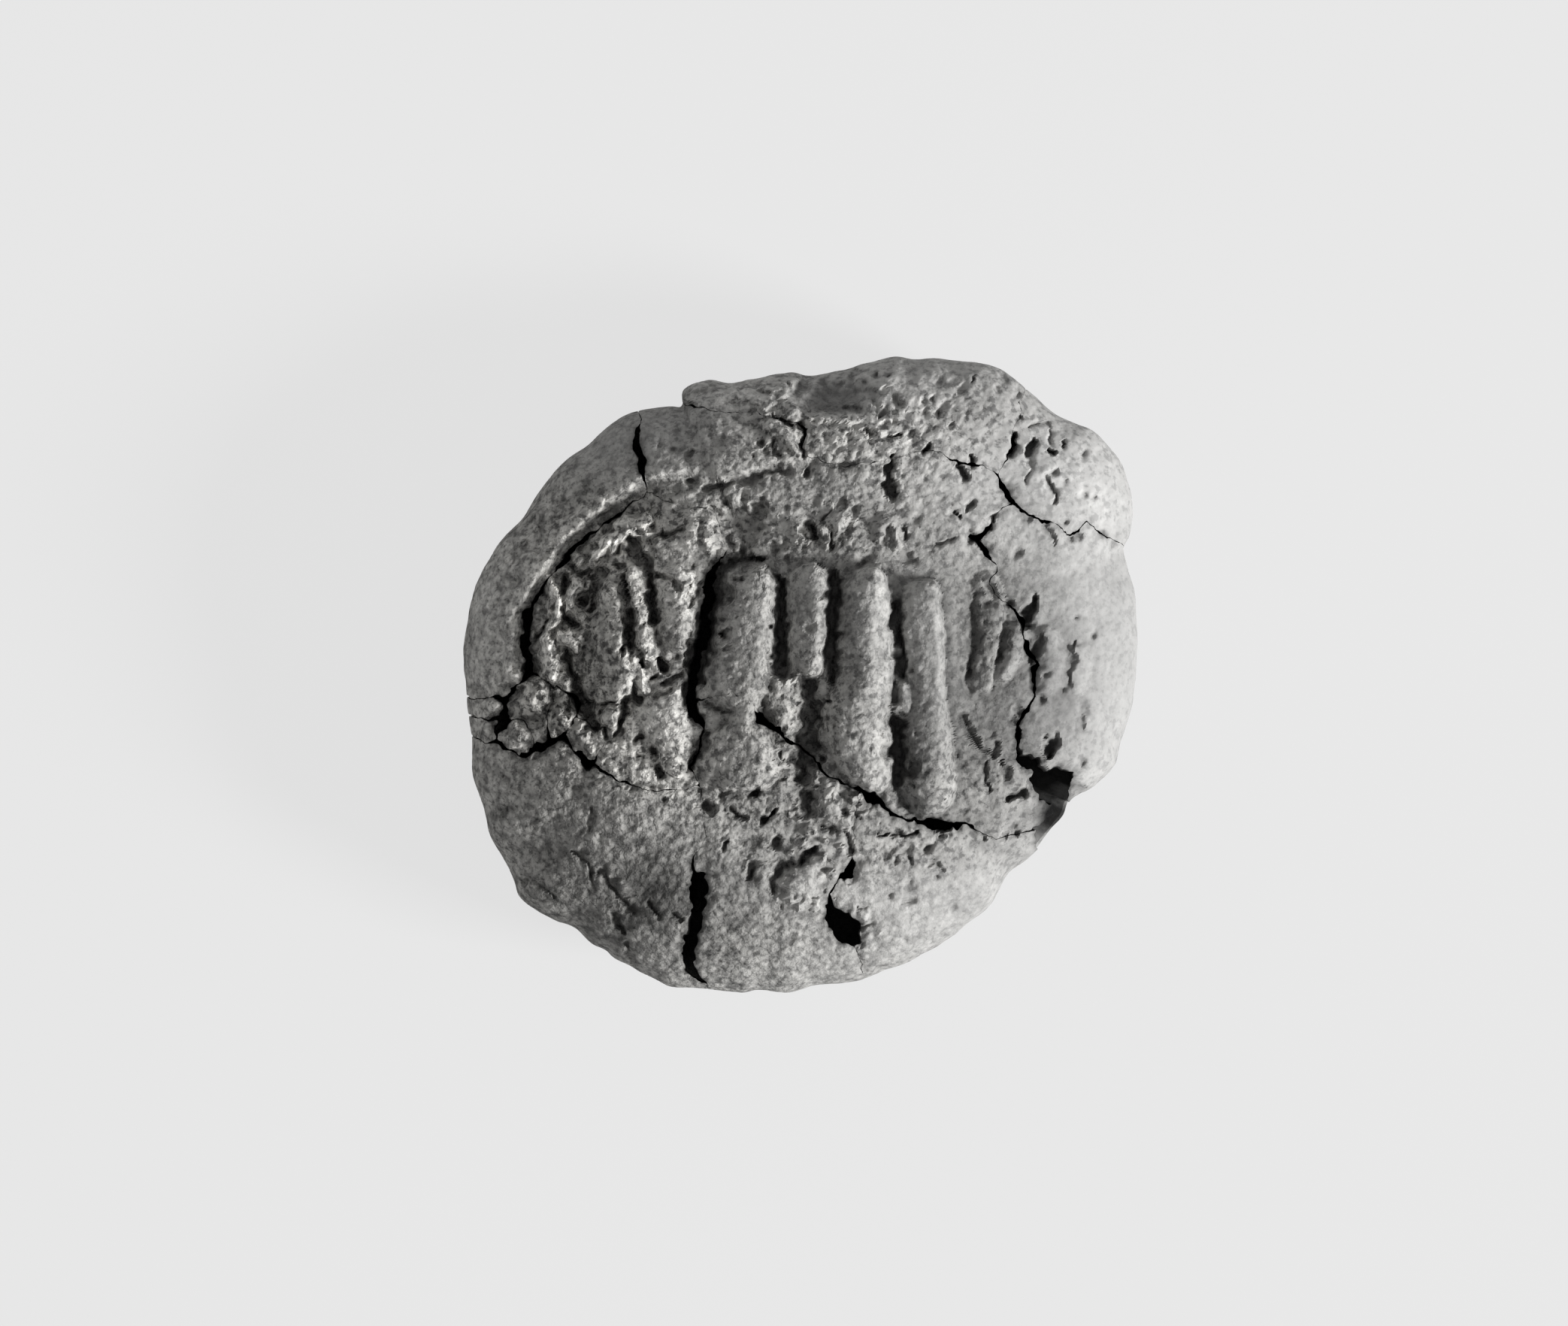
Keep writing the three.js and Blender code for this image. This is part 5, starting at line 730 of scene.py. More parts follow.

# Stains and pale places, with painted shade and painted light among them: the dark patches
# in the valley, the slots, the top hollow and the cord's mouth are painted shade, and the pale
# ones on the left rim, the rim's wall and the left field are painted light on slopes that face
# away from the lamp
stain_and_painted_light_shares = [
    (-0.5, -0.72, 0.34, 0.22, -0.52), (-0.5, 0.74, 0.2, 0.12, -0.1),
    (-0.45, -0.22, 0.13, 0.2, 0.42), (-0.4, 0.45, 0.24, 0.09, 0.28),
    (0.45, 0.68, 0.4, 0.14, 0.2), (0.3, -0.75, 0.1, 0.08, 0.1), (-0.1, 0.2, 0.5, 0.3, -0.12),
    (0.1, 0.87, 0.12, 0.06, -0.4), (0.36, -0.3, 0.05, 0.12, -0.25),
    (0.6, -0.12, 0.17, 0.4, -0.3), (0.4, -0.8, 0.3, 0.24, 0.16), (0.9, -0.1, 0.16, 0.4, 0.04),
    (0.8, 0.6, 0.2, 0.2, 0.25), (0.3, 0.82, 0.16, 0.14, 0.34), (0.5, 0.45, 0.16, 0.08, 0.18),
    (0.02, 0.46, 0.2, 0.06, 0.12), (-0.66, 0.28, 0.16, 0.2, 0.45),
    (-0.34, 0.3, 0.08, 0.12, 0.48), (-0.46, 0.12, 0.08, 0.14, 0.4),
    (-0.92, 0.06, 0.09, 0.36, 0.45), (0.01, -0.27, 0.05, 0.09, -0.45),
    (0.53, -0.24, 0.07, 0.08, -0.16), (0.31, -0.25, 0.055, 0.15, -0.42),
    (0.46, -0.1, 0.08, 0.2, -0.16), (0.62, 0.22, 0.1, 0.12, -0.18),
    (0.76, -0.04, 0.08, 0.18, -0.26), (0.3, -0.46, 0.2, 0.05, -0.2),
    (-0.42, -0.68, 0.12, 0.16, -0.16), (-0.22, 0.88, 0.14, 0.08, 0.14),
    (0.1, 0.76, 0.2, 0.065, 0.33), (0.14, 0.6, 0.1, 0.06, -0.14),
    (-0.05, -0.46, 0.15, 0.06, -0.15), (0.48, -0.45, 0.14, 0.05, -0.15),
    (0.36, -0.6, 0.13, 0.075, -0.2), (0.62, 0.3, 0.09, 0.06, -0.12),
    (-0.02, -0.76, 0.1, 0.08, 0.15), (0.16, -0.91, 0.07, 0.06, -0.12),
    (-0.262, 0.2, 0.03, 0.14, -0.45), (-0.2, 0.345, 0.06, 0.02, -0.4),
    (0.13, 0.2, 0.04, 0.14, -0.3), (0.53, 0.12, 0.04, 0.16, -0.22),
    (0.1, 0.83, 0.09, 0.03, -0.25), (0.75, -0.45, 0.06, 0.07, -1.15),
    (0.36, -0.06, 0.03, 0.1, -0.15), (-0.2, 0.9, 0.12, 0.05, 0.1), (0.3, 0.3, 0.06, 0.04, 0.15),
    (0, -0.14, 0.05, 0.05, 0.12), (-0.75, -0.17, 0.08, 0.06, 0.2), (0.47, 0.6, 0.1, 0.08, -0.1),
    (0.6, 0.52, 0.1, 0.12, 0.17), (-0.74, 0.16, 0.07, 0.16, 0.58), (-0.6, 0.36, 0.08, 0.1, 0.16),
    (-0.3, 0.32, 0.05, 0.08, 0.28), (0.15, 0.3, 0.07, 0.06, 0.1),
    (-0.44, -0.3, 0.08, 0.07, 0.14), (-0.3, -0.15, 0.07, 0.07, 0.1), (0.3, 0, 0.07, 0.07, 0.09),
]

# Painted shade in the hollows, beside the cracks, down the crack walls and inside the back body,
# and painted highlights on the crests
hollow_shade_gain = 1.7
hollow_reach = 0.5
blur_spread = 2.5
deepest_hollow = -0.38
highest_crest = 0.1
edge_fade = 1.2
lip_shade_amount = 0.45
lip_shade_width = 0.12
shaded_crack_half = 0.08
# Painted shade down the crack walls and inside the back body
crack_depth_shade = 0.3
inner_shade_tone = 0.12
seam_darkest_tone = 0.05
low_darkest_tone = 0.75
dark_run_depth = 1.6

# The grain of the clay, coarser towards the left and where it crumbles
grain_middle = 0.84
grain_slope = 0.75
grain_gain = 0.27
grain_shares = [
    (-0.95, 0.15, 0.13, 0.4, -0.3), (-0.6, 0.74, 0.24, 0.12, -0.6), (-0.3, 0.8, 0.2, 0.12, -0.4),
    (0, 0.5, 0.4, 0.14, -0.25), (0.2, 0.85, 0.3, 0.14, -0.3), (0.6, 0.66, 0.26, 0.18, -0.3),
    (0, -0.5, 0.3, 0.16, -0.25), (0.45, -0.65, 0.3, 0.16, -0.12),
]

# Where the clay crumbles, over a smooth face
crumble_base = 0.25
crumble_shares = [
    (-0.05, -0.42, 0.36, 0.2, 0.55), (0.05, 0.45, 0.4, 0.16, 0.65), (0.1, 0.76, 0.5, 0.16, 0.75),
    (0.66, 0.78, 0.3, 0.16, 0.3), (0.1, 0.88, 0.12, 0.06, -0.7), (0.85, 0.55, 0.16, 0.16, 0.2),
    (-0.76, -0.1, 0.22, 0.12, 0.9), (0.02, -0.1, 0.2, 0.2, 0.7), (0.52, -0.35, 0.2, 0.16, 0.5),
    (0.3, -0.55, 0.26, 0.1, 0.5), (-0.42, 0.5, 0.22, 0.1, 0.7), (-0.45, -0.28, 0.2, 0.1, 0.7),
    (-0.15, -0.85, 0.2, 0.12, 0.35), (-0.58, 0.16, 0.26, 0.34, 0.7),
    (-0.95, 0.15, 0.14, 0.5, -0.4), (-0.6, 0.74, 0.26, 0.12, -0.5),
    (0.86, 0.1, 0.24, 0.42, -0.5), (0.42, -0.74, 0.36, 0.16, -0.45),
    (0.8, 0.62, 0.24, 0.24, -0.3), (0.56, 0.1, 0.1, 0.2, 0.5),
]

# Where rubble lies on the face, in millimetres
rubble_shares = [
    (-0.79, -0.12, 0.16, 0.1, 0.3), (-0.1, -0.48, 0.24, 0.12, 0.12), (0.1, 0.76, 0.3, 0.14, 0.1),
    (0.6, -0.42, 0.14, 0.08, 0.14), (0, -0.14, 0.1, 0.12, 0.12), (-0.55, 0.3, 0.16, 0.2, 0.08),
    (0.05, 0.42, 0.2, 0.08, 0.08),
]

# The noise fields: the size of the largest forms, how many octaves there are, and a shift that
# keeps each field apart from the others
noise_fields = {
    "lumps": (3.4, 1, 3.1), "dents": (1.1, 2, 7.7), "wander": (0.7, 1, 11.3),
    "ragged": (0.3, 2, 5.6), "uneven": (0.5, 2, 17.2), "rough": (0.46, 3, 1.3),
    "grain": (0.2, 1, 9.2), "pocks": (0.32, 2, 21.4), "torn": (0.3, 2, 31.7),
    "loose": (0.55, 2, 52.3), "rubble": (0.95, 2, 41.9),
}
lump_height = 0.13
dent_height = 0.04
settled_height = 0.8
wander = 0.1
ragged = 0.08
uneven_share, most_widened = 0.8, 2
edge_wobble = 0.1
tear_wobble = 0.06
least_rough_share = 0.3
crumble_height = 0.052
grain_height = 0.064
pock_depth = 0.1
pock_start, pock_full = 0.28, 0.62
stroke_looseness = 1.1
tightest, loosest = -0.5, 1
stray_height = 0.3
near_edge_share = 0.01

# The worn lips of the cracks
lip_drop = 0.2
lip_width = 0.2
lip_bend = 1.3
least_lip_share = 0.25
lip_crack_start, lip_crack_full = 0.02, 0.2


def placed(shares):
    """Places on the face in millimetres."""
    return np.array(shares, float).reshape(-1, 2) * (half_width, half_height)


def line_of(rows):
    """A line's places in millimetres, and the number that follows each."""
    table = np.array(rows)
    return placed(table[:, :2]), table[:, 2]


def smooth(value, start, end):
    """From 0 up to the start to 1 from the end on, eased at both."""
    part = np.clip((value - start) / (end - start), 0, 1)
    return part * part * (3 - 2 * part)


def closed_curve(corners, per_corner):
    """A closed smooth curve through the corners."""
    before, start = np.roll(corners, 1, axis=0), corners
    end, after = np.roll(corners, -1, axis=0), np.roll(corners, -2, axis=0)
    points = []
    for step in range(per_corner):
        t = step / per_corner
        points.append(0.5 * (2 * start + (end - before) * t
                             + (2 * before - 5 * start + 4 * end - after) * t ** 2
                             + (3 * start - before - 3 * end + after) * t ** 3))
    return np.stack(points, axis=1).reshape(-1, 2)


outline = closed_curve(placed(outline_shares), curve_steps)
outline_order = np.argsort(np.arctan2(outline[:, 1], outline[:, 0]))
outline = outline[outline_order]
outline_angles = np.arctan2(outline[:, 1], outline[:, 0])
outline_radii = np.hypot(*outline.T)


def outline_radius(angle):
    return np.interp(angle, outline_angles, outline_radii, period=2 * math.pi)


def radius_share(points):
    """Distance from the middle as a share of the outline's radius in that direction."""
    return np.hypot(points[:, 0], points[:, 1]) / outline_radius(
        np.arctan2(points[:, 1], points[:, 0]))


# The noise: directions drawn once with a fixed seed and laid out on a lattice
seed = 7
draw = np.random.default_rng(seed)
lattice_count = 256
lattice_order = draw.permutation(lattice_count)
directions = draw.normal(size=(lattice_count, 3, 3))
directions /= np.linalg.norm(directions, axis=2, keepdims=True)
noise_gain = 1.5
octave_gain = 0.62


def noise(name, points):
    """Three smooth noise values per point, each from about -1 to 1."""
    size, octaves, shift = noise_fields[name]
    total = np.zeros((len(points), 3))
    for octave in range(octaves):
        spot = points * (2 ** octave / size) + shift
        cell = np.floor(spot).astype(int)
        inner = spot - cell
        ease = inner ** 3 * (inner * (6 * inner - 15) + 10)
        for corner in product((0, 1), repeat=3):
            key = np.zeros(len(points), int)
            for side in range(3):
                key = lattice_order[(key + cell[:, side] + corner[side]) % lattice_count]
            weight = np.prod(np.where(corner, ease, 1 - ease), axis=1)
            slope = np.einsum("nkd,nd->nk", directions[key], inner - corner)
            total += noise_gain * weight[:, None] * slope * octave_gain ** octave
    return total


def line_reach(x, y, line, halves):
    """Distance to a line less its half width there, the least distance as a share of the half
    width, and how many corners along the line the nearest place is."""
    reach = np.full(len(x), np.inf)
    share = np.full(len(x), np.inf)
    nearest = np.zeros(len(x))
    ends = list(zip(line, line[1:])) or [(line[0], line[0])]
    widths = list(zip(halves, halves[1:])) or [(halves[0], halves[0])]
    for number, ((start, end), (wide, next_wide)) in enumerate(zip(ends, widths)):
        step = end - start
        length = max(step @ step, tiny)
        part = np.clip(((x - start[0]) * step[0] + (y - start[1]) * step[1]) / length, 0, 1)
        away = np.hypot(x - start[0] - part * step[0], y - start[1] - part * step[1])
        half = wide + (next_wide - wide) * part
        nearer = away - half < reach
        reach = np.where(nearer, away - half, reach)
        nearest = np.where(nearer, number + part, nearest)
        share = np.minimum(share, away / np.maximum(half, tiny))
    return reach, share, nearest


def along(nearest, values):
    """The value at the nearest place of a line whose corners have these values."""
    return np.interp(nearest, np.arange(len(values)), values)


def stroke_share(x, y, stroke):
    """Distance to a stroke as a share of its half width."""
    line, half_shares = line_of(stroke)
    return line_reach(x, y, line, half_shares * half_width)[1]


def inside(x, y, corners):
    """Which points lie inside a closed outline."""
    result = np.zeros(len(x), bool)
    for (ax, ay), (bx, by) in zip(corners, np.roll(corners, -1, axis=0)):
        crosses = (ay > y) != (by > y)
        slope = (bx - ax) / (by - ay if by != ay else tiny)
        result ^= crosses & (x < ax + slope * (y - ay))
    return result


def crack_reach(x, y):
    """Distance to the nearest crack or hole, negative inside it, and the crack's half width."""
    reach = np.full(len(x), np.inf)
    half = np.zeros(len(x))
    for crack in crack_shares.values():
        line, widths = line_of(crack)
        halves = widths * smooth(widths, hair_width, open_width) / 2
        found, _, nearest = line_reach(x, y, line, halves)
        half = np.where(found < reach, along(nearest, halves), half)
        reach = np.minimum(found, reach)
    for hole in hole_shares.values():
        corners = placed(hole)
        ring = np.vstack([corners, corners[:1]])
        away = line_reach(x, y, ring, np.zeros(len(ring)))[0]
        found = np.where(inside(x, y, corners), -away, away)
        half = np.where(found < reach, open_width / 2, half)
        reach = np.minimum(found, reach)
    return reach, half


def field_sink(x, y):
    """How far the seal's field lies below the rim at its upper left."""
    line, depth_shares = line_of(rim_shares)
    away, _, nearest = line_reach(x, y, line, np.zeros(len(line)))
    within = inside(x, y, np.vstack([line, placed(beyond_shares)]))
    wall = smooth(np.where(within, away, -away), -field_wall_width / 2, field_wall_width / 2)
    fade = 1 - smooth(away, 0, field_fade_width)
    return field_depth * along(nearest, depth_shares) * wall * fade


def fall(part, fall_share, bend, brink):
    """A bar's height from its crest, at 0, to its edge, at 1: a slope that ends in a brink."""
    part = np.maximum(part, 0)
    return (1 - fall_share * part ** bend) * np.sqrt(np.clip(1 - part ** brink, 0, 1))


def bar_rises(x, y):
    """Rise of the upright bars: a long slope up to the crest from the left, then a round
    flank down to the right edge."""
    raised = np.zeros(len(x))
    for rise_share, rows in bar_shares.values():
        table = np.array(rows)[::-1]
        up = table[:, 0] * half_height
        left, crest, right = (np.interp(y, up, table[:, i] * half_width) for i in (1, 2, 3))
        before = (crest - x) / np.maximum(crest - left, tiny)
        after = (x - crest) / np.maximum(right - crest, tiny)
        form = np.where(x < crest, fall(before, slope_fall_share, slope_bend, slope_brink),
                        fall(after, flank_fall_share, flank_bend, flank_brink))
        form[(y < up[0]) | (y > up[-1]) | (before > 1) | (after > 1)] = 0
        end_fade = smooth(np.minimum(y - up[0], up[-1] - y), 0, bar_end_fade)
        raised = np.maximum(raised, bar_rise * rise_share * form * end_fade)
    return raised


def relief(x, y, looseness):
    """Height of the impression over the plain face. The strokes widen and narrow by the
    looseness of each place."""
    raised = bar_rises(x, y)
    for rise_share, stroke in raised_shares.values():
        share = stroke_share(x, y, stroke) * looseness
        form = np.clip(1 - share ** raised_fullness, 0, 1) ** raised_roundness
        raised = np.maximum(raised, bar_rise * rise_share * form)
    sunk = np.zeros(len(x))
    for depth_share, stroke in sunk_shares.values():
        share = stroke_share(x, y, stroke) * looseness
        form = 1 - smooth(share, slot_floor_share, slot_brink_share)
        sunk = np.maximum(sunk, slot_depth * depth_share * form)
    for across, up, size_share, depth_share in pit_shares:
        place_x, place_y = placed((across, up))[0]
        share = np.hypot(x - place_x, y - place_y) / (size_share * half_width) * looseness
        form = 1 - smooth(share, 0, pit_brink_share)
        sunk = np.maximum(sunk, pit_depth * depth_share * form)
    return raised - sunk


def nearness(x, y, extent):
    """From 1 in the middle of a patch down towards 0 beyond its reaches."""
    centre, reaches = placed(extent)
    return np.exp(-(((x - centre[0]) / reaches[0]) ** 2 + ((y - centre[1]) / reaches[1]) ** 2))


def patches(x, y, table):
    """The sum of soft round patches."""
    return sum(amount * nearness(x, y, extent) for *extent, amount in table)


def crumbling(x, y):
    """How much the clay crumbles at each place, from 0 to 1."""
    amount = np.full(len(x), crumble_base)
    for *extent, weight in crumble_shares:
        room = 1 - amount if weight > 0 else amount
        amount = amount + weight * nearness(x, y, extent) * room
    return np.clip(amount, 0, 1)


def side_share(z):
    """Radius of the lump's side at a height, as a share of the outline's radius."""
    up = np.clip(z / back_top, 0, 1)
    bulge = (1 - (1 - up) ** back_fullness) ** (1 / back_fullness)
    below = back_base_share + (back_top_share - back_base_share) * bulge
    above = np.interp(z, [back_top, layer_foot, edge_height],
                      [back_top_share, layer_foot_share, 1])
    return np.where(z < back_top, below, above)


def weathered(points):
    """Moves points by one field of lumps and dents, so that neighbours stay together. The
    flat back stays level."""
    moved = points + lump_height * noise("lumps", points) + dent_height * noise("dents", points)
    settled = smooth(points[:, 2], 0, settled_height)
    moved[:, 2] = points[:, 2] + (moved[:, 2] - points[:, 2]) * settled
    return moved


# The face is sampled on a square grid laid over the round outline
axis = np.linspace(-grid_end_share, grid_end_share, grid_steps + 1)
grid_a, grid_b = (g.ravel() for g in np.meshgrid(axis, axis, indexing="ij"))
grid_reach = np.hypot(grid_a, grid_b)
grid_angle = np.arctan2(grid_b, grid_a)
limited = np.minimum(grid_reach, grid_limit_share)
edge_share = limited * (1 + edge_crowd_share) - edge_crowd_share * limited ** edge_crowd_power
radius = outline_radius(grid_angle)
grid_x = edge_share * radius * np.cos(grid_angle)
grid_y = edge_share * radius * np.sin(grid_angle)
flat = np.stack([grid_x, grid_y, np.zeros(len(grid_x))], axis=1)

# How far the cracks stray from their lines, and the distance to them
strayed = wander * noise("wander", flat) + ragged * noise("ragged", flat)
crack_x, crack_y = grid_x + strayed[:, 0], grid_y + strayed[:, 1]
crack_distance, crack_half = crack_reach(crack_x, crack_y)
uneven = np.clip(1 + uneven_share * noise("uneven", flat)[:, 0], 0, most_widened)
narrowed = crack_half * (1 - uneven)
crack_distance, crack_half = crack_distance + narrowed, crack_half - narrowed
beside_crack = np.maximum(crack_distance, 0)
edge_distance = (1 - grid_reach) * half_width
on_face = edge_distance > -near_edge_share * half_width

# The height of every place on the face
crumbled = crumbling(grid_x, grid_y)
rough_share = least_rough_share + (1 - least_rough_share) * crumbled
rough = noise("rough", flat)
torn = tear_wobble * noise("torn", flat)
wobble = edge_wobble * rough_share
loose = np.clip(stroke_looseness * noise("loose", flat)[:, 0], tightest, loosest)
height = edge_height + dome_rise * np.sqrt(np.clip(1 - edge_share ** dome_fullness, 0, 1))
height -= field_sink(grid_x, grid_y)
height += relief(grid_x + wobble * rough[:, 1] + torn[:, 0],
                 grid_y + wobble * rough[:, 2] + torn[:, 1], 1 + loose)
height += patches(grid_x, grid_y, broad_shares)
height += patches(grid_x, grid_y, rubble_shares) * noise("rubble", flat)[:, 0]
height += crumble_height * crumbled * rough[:, 0]
height += grain_height * rough_share * noise("grain", flat)[:, 0]
height -= pock_depth * crumbled * smooth(noise("pocks", flat)[:, 0], pock_start, pock_full)
lip_share = smooth(crack_half, lip_crack_start, lip_crack_full)
lip_share = least_lip_share + (1 - least_lip_share) * lip_share
height -= lip_drop * lip_share * np.exp(-(beside_crack / lip_width) ** lip_bend)


def blurred(values, reach):
    """Grid values evened out over a reach."""
    table = values.reshape(grid_steps + 1, grid_steps + 1)
    step = 2 * half_width / grid_steps
    span = int(blur_spread * reach / step)
    for side in (0, 1):
        total, weights = np.zeros_like(table), 0
        for shift in range(-span, span + 1):
            weight = math.exp(-(shift * step / reach) ** 2)
            total += weight * np.roll(table, shift, axis=side)
            weights += weight
        table = total / weights
    return table.ravel()


# The tone of the clay: painted shade in the hollows and beside the cracks, painted highlights on
# the crests and the lit strips, and stains
# Painted shade in the hollows and painted highlights on the crests: each place darkens by how far
# it lies below its neighbourhood and lightens by how far it stands above it
over = np.clip(height - blurred(height, hollow_reach), deepest_hollow, highest_crest)
over *= smooth(edge_distance, 0, edge_fade)
grid_tone = (1 + hollow_shade_gain * over) * (1 + patches(grid_x, grid_y, stain_and_painted_light_shares))
# Painted shade on the lips of the open cracks, stronger the wider the crack
lip_shading = smooth(crack_half, 0, shaded_crack_half) * np.exp(-beside_crack / lip_shade_width)
grid_tone *= 1 - lip_shade_amount * lip_shading
# Painted highlights along the rim's wall and the left field's crests
for lightening, stroke in painted_highlight_shares.values():
    share = stroke_share(crack_x, crack_y, stroke)
    grid_tone *= 1 + lightening * (1 - smooth(share, highlight_core_share, highlight_end_share))

# Each grid point's place and what the material reads there
surface_layers = ("tone", "grain", "crumble")
grid_grain = grain_middle - grain_slope * grid_x / half_width + grain_gain * crumbled
grid_grain += patches(grid_x, grid_y, grain_shares)
grid_spots = np.column_stack([grid_x, grid_y, height, grid_tone, grid_grain, crumbled])


def fragment_labels():
    """The names of the fragments, and which of them lies nearest to each grid point."""
    names = sorted(name for name in frame["nodes"] if name != "back_body")
    corners, polygons, owners = [], [], []
    for number, name in enumerate(names):
        mesh = frame["nodes"][name].data
        first = len(corners)
        corners.extend(v.co / MM for v in mesh.vertices)
        for polygon in mesh.polygons:
            polygons.append([first + i for i in polygon.vertices])
            owners.append(number)
    tree = BVHTree.FromPolygons(corners, polygons)
    level = layer_foot + stray_height
    return names, np.array([
        owners[tree.find_nearest((x, y, level))[2]] if near else -1
        for x, y, near in zip(crack_x, crack_y, on_face)
    ])


def without_scraps(labels):
    """Grid points that belong to a whole piece of clay, not to a scrap beside a crack."""
    count = grid_steps + 1
    kept = ((crack_distance > 0) & (edge_distance > 0)).reshape(count, count)
    owner = labels.reshape(count, count)
    waiting = kept.copy()
    for start in zip(*np.nonzero(kept)):
        if not waiting[start]:
            continue
        waiting[start] = False
        queue, members = deque([start]), [start]
        while queue:
            i, j = queue.popleft()
            for near in ((i + 1, j), (i - 1, j), (i, j + 1), (i, j - 1)):
                if waiting[near] and owner[near] == owner[start]:
                    waiting[near] = False
                    queue.append(near)
                    members.append(near)
        if len(members) < smallest_part:
            for member in members:
                kept[member] = False
    return kept.ravel()


# Marching squares: what each cell keeps, by which of its corners a, b, c and d are inside
cell_forms = {
    1: ["a ab da"], 2: ["b bc ab"], 3: ["a b bc da"], 4: ["c cd bc"],
    5: ["a ab da", "c cd bc"], 6: ["b c cd ab"], 7: ["a b c cd da"], 8: ["d da cd"],
    9: ["a ab cd d"], 10: ["b bc ab", "d da cd"], 11: ["a b bc cd d"], 12: ["c d da bc"],
    13: ["a ab bc c d"], 14: ["b c d da ab"], 15: ["a b c d"],
}


def edge_points(reach, start, end):
    """New points where a fragment's edge crosses grid lines, and each line's point number."""
    crossing = (reach[start] > 0) != (reach[end] > 0)
    a, b = start[crossing], end[crossing]
    part = reach[a] / (reach[a] - reach[b])
    part = np.clip(part, smallest_cut_share, 1 - smallest_cut_share)[:, None]
    numbers = np.full(len(start), -1)
    numbers[crossing] = np.arange(len(a))
    return grid_spots[a] * (1 - part) + grid_spots[b] * part, numbers


def face_part(reach):
    """The points and triangles of the face where reach is above zero."""
    count = grid_steps + 1
    ids = np.arange(count * count).reshape(count, count)
    along_a, numbers_a = edge_points(reach, ids[:-1].ravel(), ids[1:].ravel())
    along_b, numbers_b = edge_points(reach, ids[:, :-1].ravel(), ids[:, 1:].ravel())
    lines_a = (numbers_a + len(grid_spots)).reshape(count - 1, count)
    lines_b = (numbers_b + len(grid_spots) + len(along_a)).reshape(count, count - 1)
    tokens = {
        "a": ids[:-1, :-1], "b": ids[1:, :-1], "c": ids[1:, 1:], "d": ids[:-1, 1:],
        "ab": lines_a[:, :-1], "cd": lines_a[:, 1:], "bc": lines_b[1:], "da": lines_b[:-1],
    }
    kept = reach > 0
    code = sum(kept[tokens[corner]] * 2 ** i for i, corner in enumerate("abcd"))
    triangles = []
    for form, polygons in cell_forms.items():
        cells = code == form
        for polygon in polygons:
            corners = [tokens[name][cells] for name in polygon.split()]
            for i in range(1, len(corners) - 1):
                triangles.append(np.stack([corners[0], corners[i], corners[i + 1]], axis=1))
    return np.vstack([grid_spots, along_a, along_b]), np.vstack(triangles)


def boundary_edges(triangles):
    """Edges with a triangle on one side only, in the triangle's direction."""
    edges = np.concatenate([triangles[:, [0, 1]], triangles[:, [1, 2]], triangles[:, [2, 0]]])
    big = triangles.max() + 1
    keys = edges[:, 0] * big + edges[:, 1]
    backward = edges[:, 1] * big + edges[:, 0]
    return edges[~np.isin(keys, backward)]


def loops_of(edges):
    """Closed loops of point numbers, from edges in any order."""
    follow = dict(edges.tolist())
    loops = []
    while follow:
        start, point = follow.popitem()
        loop = [start]
        while point != start:
            loop.append(point)
            point = follow.pop(point)
        loops.append(loop)
    return loops


def clay_object(name, points, faces):
    mesh = bpy.data.meshes.new(name)
    mesh.from_pydata((points[:, :3] * MM).tolist(), [], faces)
    mesh.polygons.foreach_set("use_smooth", [True] * len(mesh.polygons))
    mesh.set_sharp_from_angle(angle=sharp_angle)
    obj = bpy.data.objects.new(name, mesh)
    bpy.context.scene.collection.objects.link(obj)
    return obj


def set_layers(obj, columns):
    for name, values in zip(surface_layers, columns):
        layer = obj.data.attributes.new(name, "FLOAT", "POINT")
        layer.data.foreach_set("value", values)


def wall_rings(brink):
    """Rings of points from the brink of a fragment down its walls to its foot. Walls on the
    lump's outside follow its round side, and walls in a crack are painted darker with depth,
    as painted shade."""
    foot = seam_height - tuck_height
    share = radius_share(brink)
    for level_share in wall_shares:
        ring = brink.copy()
        ring[:, 2] += (foot - brink[:, 2]) * level_share
        limit = side_share(ring[:, 2]) - tuck_share * np.maximum(0, seam_height - ring[:, 2])
        ring[:, :2] *= np.minimum(1, limit / np.maximum(share, tiny))[:, None]
        # The walls in a crack are painted darker with depth, as painted shade
        dimmed = 1 - (1 - crack_depth_shade) * math.sqrt(level_share)
        ring[:, 3] *= np.where(share > outer_share, 1, dimmed)
        yield ring


def underside(points, edges):
    """Triangles that close a fragment's foot, facing down."""
    loops = loops_of(edges)
    flat_loops = [[Vector((*points[i, :2], 0)) for i in loop] for loop in loops]
    order = [i for loop in loops for i in loop]
    triangles = []
    for triangle in tessellate_polygon(flat_loops):
        a, b, c = (order[i] for i in triangle)
        first, second = points[[b, c], :2] - points[a, :2]
        turn = first[0] * second[1] - first[1] * second[0]
        triangles.append([a, c, b] if turn > 0 else [a, b, c])
    return triangles


